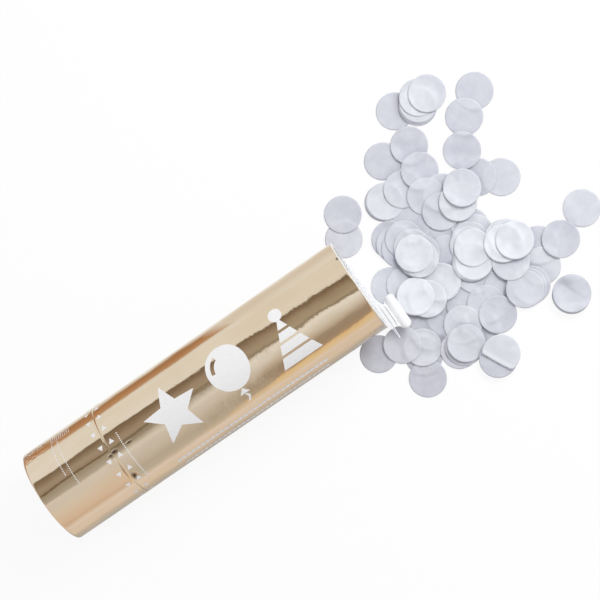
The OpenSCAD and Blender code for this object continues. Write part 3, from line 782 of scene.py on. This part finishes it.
# %% Print the rows
ARROW_COUNT = 20
ARROW_STEP = (0, arc_mm(360 / ARROW_COUNT))
barrel_rows = [
    print_row("barrel_arrows", 46.2, 12, ARROW_STEP, ARROW_COUNT, 1.75, 3, 90, 3),
    print_row("ring_of_dots", 50.6, -49, (0, 1.1), 28, 0.36),
    print_row("upper_line", 67.5, -57.5, (2.9, 0), 32, 1.1),
    print_row("upper_line_small", 68.95, -57.5, (2.9, 0), 31, 0.55),
    print_row("lower_line", 69.5, -72.0, (2.9, 0), 31, 1.1),
    print_row("lower_line_small", 70.95, -72.0, (2.9, 0), 30, 0.55)]
grip_rows = [
    print_row("grip_arrows", 39.8, 12, ARROW_STEP, ARROW_COUNT, 1.75, 3, -90, 3),
    print_row("grip_line", 17.4, 10, (0, 1.1), 19, 0.34),
    print_row("grip_second_line", 20.9, -6, (0, 1.1), 26, 0.34)]
grip_rows += [print_row(f"grip_block_{k}", 17.5, 58 + 3.4 * k, (1.2, 0), 10, 0.36) for k in range(4)]
lay_on_skin(motifs + barrel_rows, "barrel_print", BARREL_SKIN, "barrel")
lay_on_skin(grip_rows, "grip_print", GRIP_SKIN, "grip")

# %% [markdown]
# The board tubes are wound from strips of white-lined board. The strips meet in a
# fine helical seam, which shows inside the mouth as a faint line, and the cut rim
# has a soft, slightly fibrous face.

# %% Wound board
WINDING_PITCH = 62.0
# Half the seam's width as a share of the pitch, and its tone
WINDING_SEAM, WINDING_TONE = 0.004, (0.62, 0.60, 0.56)


def board_finish():
    material, tree, shader = new_finish("wound_board", (0.90, 0.90, 0.89), 0.75)
    x, y, z = axes(tube_space(tree))
    wound = calc("FRACT", plus(over(calc("ARCTAN2", y, z), math.tau), over(x, WINDING_PITCH)))
    seam = calc("LESS_THAN", calc("ABSOLUTE", minus(wound, 0.5)), WINDING_SEAM)
    fibres = noise(tree, 2.2, 4.0, (0.5, 1.0, 1.0))
    toned = ramp(fibres, [(0.3, (0.86, 0.86, 0.85)), (0.7, (0.93, 0.93, 0.92))])
    wire(mix_colour(seam, toned, WINDING_TONE), shader, "Base Color")
    relief(shader, minus(fibres, seam), 0.03)
    return material


dress(board_finish(), "barrel_tube", "grip_tube")

# %% [markdown]
# The moulded pieces share one recipe: an even plastic with a hint of mottling and
# a fine spark-eroded grain. Only the colour and the gloss differ.

# %% Moulded plastics
def plastic_finish(name, dark, light, roughness, depth):
    return grained_finish(name, (dark, light), roughness, (0.35,), depth, grain=(7.0, 2.0), drift=0.06,
                          gloss=(0.9,))


GREY_PLASTIC = plastic_finish("moulded_grey", (0.62, 0.62, 0.63), (0.68, 0.68, 0.69), 0.42, 0.012)
WHITE_PLASTIC = plastic_finish("moulded_white", (0.80, 0.80, 0.79), (0.86, 0.86, 0.85), 0.38, 0.008)
RED_PLASTIC = plastic_finish("moulded_red", (0.42, 0.018, 0.015), (0.52, 0.028, 0.02), 0.28, 0.004)
dress(GREY_PLASTIC, "nozzle_block", "base_cap", "bottle_cradle")
dress(WHITE_PLASTIC, "twist_coupler", "pusher_cup")
dress(RED_PLASTIC, "valve_plunger")

# %% [markdown]
# The bottle is deep drawn, so its sides carry fine lines along the draw. The brass
# seat is turned and the pin is ground, so their marks run round the work instead.

# %% Metals, rubber and felt
def metal_finish(name, dark, light, roughness, stretch, depth):
    return grained_finish(name, (dark, light), roughness, (1.6, 4.0, stretch), depth, metallic=1.0,
                          drift=0.08)


DRAWN = metal_finish("drawn_aluminium", (0.66, 0.665, 0.67), (0.80, 0.805, 0.81), 0.30, (0.06, 1.0, 1.0),
                     0.006)
TURNED = metal_finish("turned_brass", (0.62, 0.44, 0.16), (0.78, 0.58, 0.26), 0.24, (4.0, 0.05, 0.05), 0.005)
GROUND = metal_finish("ground_steel", (0.48, 0.49, 0.50), (0.62, 0.63, 0.64), 0.28, (0.2, 4.0, 0.2), 0.004)
RUBBER = grained_finish("moulded_rubber", ((0.014, 0.014, 0.015), (0.028, 0.028, 0.03)), 0.55, (1.0,), 0.01,
                        grain=(9.0,), colour=(0.018, 0.018, 0.019))
FELT = grained_finish("pressed_felt", ((0.42, 0.41, 0.40), (0.66, 0.65, 0.63)), 0.95,
                      (2.6, 6.0, (1.0, 2.6, 0.7)), 0.25, colour=(0.56, 0.55, 0.53),
                      others={"Sheen Weight": 0.3})
dress(DRAWN, "air_bottle", "crimp_collar")
dress(TURNED, "neck_insert")
dress(GROUND, "cross_pin")
dress(RUBBER, "neck_gasket", "plunger_o_rings")
dress(FELT, "wad_pad")

# %% [markdown]
# The clear disc that closed the mouth has popped off and leans there on its edge.
# It is a thin film with a slightly thicker rim, and it bows a little. Its rim is
# painted almost opaque white: a painted highlight for the light its edge catches as two close lines.

# %% Shape the clear disc
# The film is a dish of rings: the share of its radius, and how far each stands out
FILM_RINGS = [(0.0, 0.25), (0.2, 0.24), (0.4, 0.21), (0.6, 0.16), (0.8, 0.09), (0.9, 0.05), (0.96, 0.02),
              (0.975, -0.10), (0.99, -0.10), (1.0, 0.0)]
FILM_SPOKES = 96
# The film's own wall, and that of the CAD disc
FILM_WALL, SEAL_WALL = 0.18 * MM, 0.4 * MM
# Past this share of its radius the film has the finish of its edge: almost opaque white, a painted highlight
EDGE_SHARE = 0.965


def film_finish(name, tone, alpha):
    material, tree, shader = new_finish(name, tone, 0.3, 0.0, {"Specular IOR Level": 0.08, "Alpha": alpha})
    vary_roughness(shader, noise(tree, 0.3), 0.25, 0.4)
    return material


def shape_film():
    """The film as a round sheet with a beaded rim, standing where its CAD disc stands."""
    low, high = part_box("mouth_seal")
    radius = (high.z - low.z) / 2
    yaw = math.asin((high.x - low.x - SEAL_WALL) / (2 * radius))
    work = bmesh.new()
    rings = []
    for share, out in FILM_RINGS:
        turns = round_turns(FILM_SPOKES) if share else [0.0]
        reach = radius * share
        rings.append([work.verts.new((out * MM, reach * math.sin(turn), reach * math.cos(turn)))
                      for turn in turns])
    for k in range(FILM_SPOKES):
        after = (k + 1) % FILM_SPOKES
        work.faces.new((rings[0][0], rings[1][after], rings[1][k]))
        for j in range(1, len(rings) - 1):
            face = work.faces.new((rings[j][k], rings[j][after], rings[j + 1][after], rings[j + 1][k]))
            face.material_index = int(FILM_RINGS[j][0] > EDGE_SHARE)
    bmesh.ops.recalc_face_normals(work, faces=work.faces[:])
    work.transform(Matrix.Translation((low + high) / 2) @ Matrix.Rotation(yaw, 4, "Z"))
    # The edge's finish is a painted highlight: near-opaque white on the rim
    film = to_piece(work, "mouth_film", film_finish("clear_film", (0.80, 0.85, 0.95), 0.2),
                    film_finish("film_edge_painted_highlight", (0.97, 0.97, 0.98), 0.92))
    thicken(film, FILM_WALL, offset=0.0)
    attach(film, "barrel")
    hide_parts("mouth_seal")
    # So clear a film hardly shades what is behind it
    film.visible_shadow = False
    print("mouth_film:", len(film.data.polygons), "faces")


shape_film()

# %% [markdown]
# The confetti is tissue paper, so thin that light comes up through it. One sheet
# alone looks lilac, and it turns whiter where others lie under it, so their edges
# show through. That whitening goes into a painted shade, and the slightly paler cut
# rim is a painted highlight; both are stored on the mesh as attributes.

# %% Tissue paper
# The share of the tone's range that is below the sheet's own tone, for what lies in a pile's shade
DEEP_SHARE = 0.4
# How far the tone drifts in a sheet
TONE_DRIFT = 0.6
# Where the painted highlight on the rim starts and is full, how much it pales, and its tone
RIM_HIGHLIGHT_LIMITS, RIM_HIGHLIGHT_SHARE, RIM_HIGHLIGHT_TONE = (0.93, 0.985), 0.1, (0.94, 0.945, 0.955)


def tissue_finish(name, deep, dark, light, alpha):
    """Tissue that takes its tone from the shade stored on its mesh, with a painted highlight by the rim
    stored there.
    """
    material, tree, shader = new_finish(name, light, 0.9, 0.0, {"Specular IOR Level": 0.15, "Alpha": alpha})
    shade, rim = (add_node(tree, "Attribute", attribute_name=label).outputs["Fac"]
                  for label in ("shade", "rim"))
    drift = times_plus(minus(noise(tree, 0.22), 0.5), TONE_DRIFT, shade)
    toned = ramp(times_plus(drift, 1 - DEEP_SHARE, DEEP_SHARE),
                 [(0.0, deep), (DEEP_SHARE, dark), (1.0, light)])
    # Painted highlight: the rim is paled towards a light tone
    rim_highlighted = mix_colour(times(between(rim, RIM_HIGHLIGHT_LIMITS), RIM_HIGHLIGHT_SHARE), toned, RIM_HIGHLIGHT_TONE)
    wire(rim_highlighted, shader, "Base Color")
    relief(shader, noise(tree, 1.6, 5.0), 0.03, 0.6)
    return material


TISSUE = tissue_finish("tissue_paper", (0.33, 0.325, 0.39), (0.60, 0.612, 0.675), (0.89, 0.91, 0.94), 0.84)
# A lighter, almost opaque copy of the tissue: painted light for the rolled disc, which stands up into the
# light
PAINTED_LIT_TISSUE = tissue_finish("painted_lit_tissue", (0.70, 0.70, 0.71), (0.80, 0.805, 0.81), (0.885, 0.89, 0.88),
                              0.97)
print("tissue:", TISSUE.name, PAINTED_LIT_TISSUE.name)

# %% [markdown]
# Each disc is a fine round net of rings and spokes. To lay them down, a height map
# of the floor is kept: a disc starts flat on the highest thing beneath it, sags
# between its supports as a thin sheet does, and then becomes part of the map for
# the next disc. So every disc touches what carries it, whatever its neighbours do.

# %% Read the discs from the frame
TISSUE_WALL = 0.05 * MM
# Points of the CAD's loose triangles this close are one
SAME_POINT = 0.001 * MM
DISC_NODES = ["confetti_floor_layer", "confetti_second_layer", "confetti_third_layer",
              "confetti_upper_layers"]


def loose_parts(node):
    """Each loose solid in a CAD node: the node, its middle, its foot and its width."""
    work = bmesh.new()
    work.from_mesh(frame["nodes"][node].data)
    bmesh.ops.remove_doubles(work, verts=work.verts[:], dist=SAME_POINT)
    seen, parts = set(), []
    for first in work.verts:
        if first in seen:
            continue
        seen.add(first)
        group, waiting = [], [first]
        while waiting:
            vert = waiting.pop()
            group.append(vert.co.copy())
            others = {edge.other_vert(vert) for edge in vert.link_edges} - seen
            seen |= others
            waiting += others
        places = np.array(group)
        low, high = places.min(0), places.max(0)
        parts.append(SimpleNamespace(node=node, x=(low[0] + high[0]) / 2, y=(low[1] + high[1]) / 2, z=low[2],
                                     width=high[0] - low[0]))
    work.free()
    return parts


discs = [disc for node in DISC_NODES for disc in loose_parts(node)]
DISC_R = float(discs[0].width) / 2
discs.sort(key=lambda disc: (round(disc.z / MM, 2), disc.x, disc.y))
print(len(discs), "discs of radius", round(DISC_R / MM, 2), "mm")

# %% [markdown]
# A sheet comes down on the map by rounds. In each round every point of it moves to
# the mean of its neighbours, sinks a little, and is held up by what lies beneath.
# That gives the soft hollows of thin paper without a slow cloth simulation.

# %% Settle a sheet on the height map
MAP_STEP, MAP_EDGE = 0.4 * MM, 4 * MM
# A disc is settled in a window with so many steps to spare, on a sheet this many steps wider
WINDOW_SPARE, SHEET_SPARE = 4, 2
REST_GAP = 0.07 * MM
SAG, SETTLE_ROUNDS = 0.011 * MM, 110
middles = np.array([(disc.x, disc.y) for disc in discs])
MAP_LOW = middles.min(0) - DISC_R - MAP_EDGE
MAP_SIZE = ((middles.max(0) + DISC_R + MAP_EDGE - MAP_LOW) / MAP_STEP).astype(int) + 1
ground, layers = np.zeros(MAP_SIZE), np.zeros(MAP_SIZE)
print("height map:", *MAP_SIZE, "points")


def neighbour_mean(sheet, inside):
    """The mean of the four neighbours that belong to the sheet."""
    total, count = np.zeros_like(sheet), np.zeros_like(sheet)
    for axis in (0, 1):
        for way in (-1, 1):
            near = np.roll(inside, way, axis)
            total += np.where(near, np.roll(sheet, way, axis), 0.0)
            count += near
    return total / np.maximum(count, 1)


def settle(x, y):
    """The part of the map under a disc, its places, and how high a sheet lies there."""
    reach = int(DISC_R / MAP_STEP) + WINDOW_SPARE
    steps = [int(round((place - low) / MAP_STEP)) for place, low in zip((x, y), MAP_LOW)]
    part = tuple(slice(step - reach, step + reach + 1) for step in steps)
    across, up = (low + grid * MAP_STEP for low, grid in zip(MAP_LOW, np.ogrid[part]))
    inside = np.hypot(across - x, up - y) <= DISC_R + SHEET_SPARE * MAP_STEP
    support = ground[part] + REST_GAP
    sheet = np.where(inside, support[inside].max(), 0.0)
    for _ in range(SETTLE_ROUNDS):
        sheet = np.where(inside, np.maximum(neighbour_mean(sheet, inside) - SAG, support), 0.0)
    return part, across, up, sheet


def sample(sheet, across, up, x, y):
    """The sheet's height at places between the map's points."""
    fi, fj = (x - across[0, 0]) / MAP_STEP, (y - up[0, 0]) / MAP_STEP
    i, j = fi.astype(int), fj.astype(int)
    a, b = fi - i, fj - j
    return ((1 - a) * (1 - b) * sheet[i, j] + a * (1 - b) * sheet[i + 1, j]
            + (1 - a) * b * sheet[i, j + 1] + a * b * sheet[i + 1, j + 1])


# %% [markdown]
# No tissue disc is flat. Each curls one way, ripples across that, and may hold a
# crease. They are drawn by chance from a fixed seed, so the spill stays the same.

# %% Give each disc a shape of its own
# What is drawn from, in millimetres: the curl of a disc that lies free and of one with
# others on it, the ripple and the crease
FREE_CURL, HELD_CURL, RIPPLES, CREASES = (0.2, 1.2), (0.05, 0.5), (0.02, 0.12), (0.3, 0.9)
# The share of discs that hold a crease, and how far from the middle it may run
CREASED, CREASE_PLACES = 0.35, (-0.4, 0.4)
# How many radians of the ripple lie in a radius across the curl, and in one along it
TURNS_ACROSS, TURNS_ALONG = 4.2, 1.7
# Discs closer than this share of their radius lie on each other
OVERLAP = 1.9
# One disc is crumpled: its place in millimetres from the middle of the mouth, its
# ripple, and its crease's height and place
CRUMPLED, CRUMPLED_SHAPE = Vector((87, -66)), (0.45 * MM, 1.9 * MM, -0.1)
chance = np.random.default_rng(12)


def from_mouth(x, y):
    """A place in millimetres from the middle of the mouth."""
    return Vector(((x - MOUTH_X) / MM, (y - AXIS_Y) / MM))


def is_uppermost(disc):
    """True if no later disc lies over this one."""
    return not any(other.z > disc.z + TISSUE_WALL
                   and math.hypot(other.x - disc.x, other.y - disc.y) < OVERLAP * DISC_R for other in discs)


def draw_shape(disc):
    """The disc's own curl, ripple and crease are drawn."""
    disc.turn = chance.uniform(0, math.pi)
    disc.phase = chance.uniform(0, math.tau)
    disc.curl = chance.uniform(*FREE_CURL if is_uppermost(disc) else HELD_CURL) * MM
    disc.ripple = chance.uniform(*RIPPLES) * MM
    disc.crease = chance.uniform(*CREASES) * MM if chance.random() < CREASED else 0.0
    disc.crease_share = chance.uniform(*CREASE_PLACES)
    if (from_mouth(disc.x, disc.y) - CRUMPLED).length < DISC_R / MM / 2:
        disc.ripple, disc.crease, disc.crease_share = CRUMPLED_SHAPE


def own_shape(disc, u, v):
    """How a disc rises by itself at places from its middle."""
    turned = (u * math.cos(disc.turn) + v * math.sin(disc.turn)) / DISC_R
    crossed = (v * math.cos(disc.turn) - u * math.sin(disc.turn)) / DISC_R
    wave = np.sin(disc.phase + TURNS_ACROSS * crossed + TURNS_ALONG * turned)
    rise = disc.curl * turned ** 2 + disc.ripple * (1 + wave)
    return rise + disc.crease * np.abs(crossed - disc.crease_share)


print("free discs:", sum(is_uppermost(disc) for disc in discs), "of", len(discs))

# %% [markdown]
# Tissue is shaded by three things, painted into its colour. A painted pool of light makes it
# palest where the soft box is aimed, along a line over the spill. It looks whiter where it lies
# on other sheets, and painted shade makes it darker at the foot of a pile. What is left differs
# by chance from disc to disc.

# %% Shade the discs
# A disc's own shade, the painted light that the soft box adds to it, and the draw for single discs
OWN_SHADE, PALE_SHADE, SHADE_DRAW = 0.24, 0.36, (-0.15, 0.2)
# The ends of the soft box's line in millimetres from the middle of the mouth, and its reach
PALE_FROM, PALE_TO, PALE_REACH = Vector((13, -15)), Vector((74, -25)), 13.0
# How much whiter a disc looks over others, and how many others give two thirds of that
COVER_SHADE, COVER_COUNT = 0.30, 1.0
# How much painted shade darkens a disc beside a pile, how far that reaches, the pile's height
# for it, and how many such piles count
PILE_SHADE, PILE_REACH, PILE_HEIGHT, PILE_COUNT = 0.18, 3.5 * MM, 1.2 * MM, 3.0


def painted_light_pool(x, y):
    """The painted pool of light: 1 on the line that the soft box is aimed at, falling to 0 away from it."""
    spot, line = from_mouth(x, y), PALE_TO - PALE_FROM
    along = max(0.0, min(1.0, (spot - PALE_FROM).dot(line) / line.length_squared))
    return math.exp(-((spot - PALE_FROM.lerp(PALE_TO, along)).length / PALE_REACH) ** 2)


def pile_shade(disc, x, y):
    """How much the higher discs close by take from the light at places on a disc."""
    total = np.zeros_like(x)
    for other in discs:
        step = other.z - disc.z
        if step > TISSUE_WALL:
            gap = np.maximum(np.hypot(x - other.x, y - other.y) - DISC_R, 0.0)
            total += min(step / PILE_HEIGHT, 1.0) * np.exp(-(gap / PILE_REACH) ** 2)
    return PILE_SHADE * np.minimum(total, PILE_COUNT)


def shade_disc(disc, x, y, cover):
    """The shade at places on a disc that lies on so many others there."""
    # Painted light where the soft box is aimed, and below, painted shade beside higher piles
    shade = OWN_SHADE + PALE_SHADE * painted_light_pool(disc.x, disc.y)
    shade = shade + COVER_SHADE * (1 - np.exp(-cover / COVER_COUNT))
    return shade + (chance.uniform(*SHADE_DRAW) - pile_shade(disc, x, y))


print("palest disc by the soft box:", round(max(painted_light_pool(disc.x, disc.y) for disc in discs), 2))

# %% [markdown]
# Now the discs come down in the order of their heights. The net of a disc has more
# rings than it needs when flat, so that it can follow every edge beneath it.

# %% Lay the discs down
RINGS, SPOKES = 13, 48
RING_SHARES = np.concatenate([[0.0], np.repeat(np.arange(1, RINGS + 1) / RINGS, SPOKES)])
SPOKE_ANGLES = np.concatenate([[0.0], np.tile(np.arange(SPOKES) * math.tau / SPOKES, RINGS)])
NET_U = RING_SHARES * np.cos(SPOKE_ANGLES)
NET_V = RING_SHARES * np.sin(SPOKE_ANGLES)


def lay_down(disc):
    """The disc gets its points and its shade, and becomes part of the map."""
    part, across, up, sheet = settle(disc.x, disc.y)
    flat = np.hypot(across - disc.x, up - disc.y) <= DISC_R
    height = sheet + own_shape(disc, across - disc.x, up - disc.y)
    ground[part][flat] = np.maximum(ground[part][flat], height[flat] + TISSUE_WALL)
    u, v = NET_U * DISC_R, NET_V * DISC_R
    x, y = disc.x + u, disc.y + v
    z = sample(sheet, across, up, x, y) + own_shape(disc, u, v) + TISSUE_WALL
    disc.points = np.column_stack([x, y, z])
    disc.shade = shade_disc(disc, x, y, sample(layers[part], across, up, x, y))
    layers[part][flat] += 1


for disc in discs:
    draw_shape(disc)
    lay_down(disc)
print("highest disc point:", round(max(disc.points[:, 2].max() for disc in discs) / MM, 2), "mm")

# %% [markdown]
# All discs of one CAD layer become one mesh, which then stands for that layer.

# %% Build the tissue layers
def net_faces(start):
    """The faces of one disc's net, from its first point on."""
    faces = [(start, start + 1 + k, start + 1 + (k + 1) % SPOKES) for k in range(SPOKES)]
    for inner in range(start + 1, start + 1 + (RINGS - 1) * SPOKES, SPOKES):
        outer = inner + SPOKES
        for k in range(SPOKES):
            after = (k + 1) % SPOKES
            faces.append((inner + k, outer + k, outer + after, inner + after))
    return faces


def tissue_piece(name, nets, shades, material, node, rims=None):
    """One mesh of several disc nets, standing for a CAD node."""
    shades = [np.broadcast_to(shade, len(NET_U)) for shade in shades]
    rims = rims or [RING_SHARES] * len(nets)
    mesh = bpy.data.meshes.new(name)
    faces = [face for k in range(len(nets)) for face in net_faces(k * len(NET_U))]
    mesh.from_pydata(np.concatenate(nets).tolist(), [], faces)
    for label, values in (("shade", shades), ("rim", rims)):
        attribute = mesh.attributes.new(label, "FLOAT", "POINT")
        attribute.data.foreach_set("value", np.concatenate(values).astype(np.float32))
    mesh.shade_smooth()
    mesh.materials.append(material)
    piece = link(name, mesh)
    thicken(piece, TISSUE_WALL)
    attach(piece, "barrel")
    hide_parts(node)
    print(name, len(nets), "discs,", len(piece.data.polygons), "faces")


for node in DISC_NODES:
    layer = [disc for disc in discs if disc.node == node]
    tissue_piece(node.replace("confetti", "tissue"), [disc.points for disc in layer],
                 [disc.shade for disc in layer], TISSUE, node)

# %% [markdown]
# Two discs have their own shapes. One has rolled up beside the clear disc: its net
# follows a line that arches over, dips and ends in a lip. The other is folded
# nearly double: past the crease its net turns under and runs back below itself.

# %% Roll one disc and fold another
# The rolled line's bends: length and turn of each, in millimetres and degrees
ROLL_RIGHT = [(5.0, -95), (9.0, -150)]
ROLL_LEFT = [(3.1, -60), (1.5, 130), (0.9, 0), (3.4, 60)]
ROLL_SHIFT = 1.1 * MM
ROLL_HALF_WIDTH = 3.6 * MM
STEPS_A_MM = 20


def bent_line(bends):
    """How far out and up a line comes that starts level and bends by turns."""
    headings, angle = [], 0.0
    for length, turn in bends:
        steps = int(length * STEPS_A_MM)
        headings += [angle + turn * (k + 0.5) / steps for k in range(steps)]
        angle += turn
    headings = np.radians(headings)
    out, up = (np.concatenate([[0], np.cumsum(part)]) * MM / STEPS_A_MM
               for part in (np.cos(headings), np.sin(headings)))
    return np.arange(len(out)) * MM / STEPS_A_MM, out, up


def rolled_net():
    """A net that follows the rolled line, lying where its CAD gutter lies."""
    low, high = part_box("confetti_curl")
    run = NET_U * DISC_R
    left, right = bent_line(ROLL_LEFT), bent_line(ROLL_RIGHT)
    out = np.where(run > 0, np.interp(run, right[0], right[1]), -np.interp(-run, left[0], left[1]))
    up = np.where(run > 0, np.interp(run, right[0], right[2]), np.interp(-run, left[0], left[2]))
    half_length = (high.y - low.y) / 2
    # The floor under the chord keeps the division sound at the disc's edge
    chord = np.sqrt(np.maximum(1 - NET_U ** 2, 1e-6))
    round_end = half_length - ROLL_HALF_WIDTH + np.sqrt(np.maximum(ROLL_HALF_WIDTH ** 2 - out ** 2, 0))
    y = (low.y + high.y) / 2 + NET_V / chord * np.minimum(chord * half_length, round_end)
    return np.column_stack([(low.x + high.x) / 2 + ROLL_SHIFT + out, y, low.z + TISSUE_WALL - up.min() + up])


FOLD_TURN, FOLD_OPEN = math.radians(207), math.radians(4)
# The crease's distance from the middle of the folded disc, and from the middle of the
# one under it, as shares of the diameter
FOLD_SHARE, REST_SHARE = 0.24, 0.08
# The crease's radius, and the width of the painted highlight along it
CREASE_R, CREASE_HIGHLIGHT_WIDTH = 0.4 * MM, 1.8 * MM
# How far the folded disc lies above the flat one, and how far both curl up
FOLD_GAP, FLAT_CURL, FOLD_CURL = 0.3 * MM, 0.2 * MM, 0.25 * MM
# The flat disc's shade, the folded one's, and how much the painted highlight along its crease adds to that
# and to its rim
FLAT_SHADE, FOLD_SHADE, CREASE_HIGHLIGHT_SHADE, CREASE_HIGHLIGHT_RIM = 0.1, 0.6, 0.9, 0.99


def folded_nets():
    """A flat net, and one that lies on it with its near side turned under at a crease."""
    under = min(loose_parts("confetti_folded"), key=lambda part: part.z)
    base = under.z + TISSUE_WALL
    u, v = NET_U * DISC_R, NET_V * DISC_R
    flat = np.column_stack([under.x + u, under.y + v, base + FLAT_CURL * NET_U ** 2])
    crease = 2 * FOLD_SHARE * DISC_R
    past, back = np.maximum(u - crease, 0.0), np.maximum(crease - u, 0.0)
    turned = np.minimum(past / CREASE_R, math.pi)
    beyond = np.maximum(past - CREASE_R * math.pi, 0.0)
    across = crease - back + CREASE_R * np.sin(turned) - beyond + 2 * (REST_SHARE - FOLD_SHARE) * DISC_R
    rise = FOLD_GAP + CREASE_R * (1 + np.cos(turned)) + back * math.sin(FOLD_OPEN) + FOLD_CURL * NET_V ** 2
    folded = np.column_stack([under.x + across * math.cos(FOLD_TURN) - v * math.sin(FOLD_TURN),
                              under.y + across * math.sin(FOLD_TURN) + v * math.cos(FOLD_TURN), base + rise])
    # A painted highlight runs along the crease
    crease_highlight = np.exp(-((u - crease) / CREASE_HIGHLIGHT_WIDTH) ** 2)
    shades = [FLAT_SHADE, FOLD_SHADE + CREASE_HIGHLIGHT_SHADE * crease_highlight]
    return [flat, folded], shades, [RING_SHARES, np.maximum(RING_SHARES, CREASE_HIGHLIGHT_RIM * crease_highlight)]


# The rolled disc is painted as fully lit
tissue_piece("tissue_curl", [rolled_net()], [1.0], PAINTED_LIT_TISSUE, "confetti_curl")
nets, shades, rims = folded_nets()
tissue_piece("tissue_folded", nets, shades, TISSUE, "confetti_folded", rims)
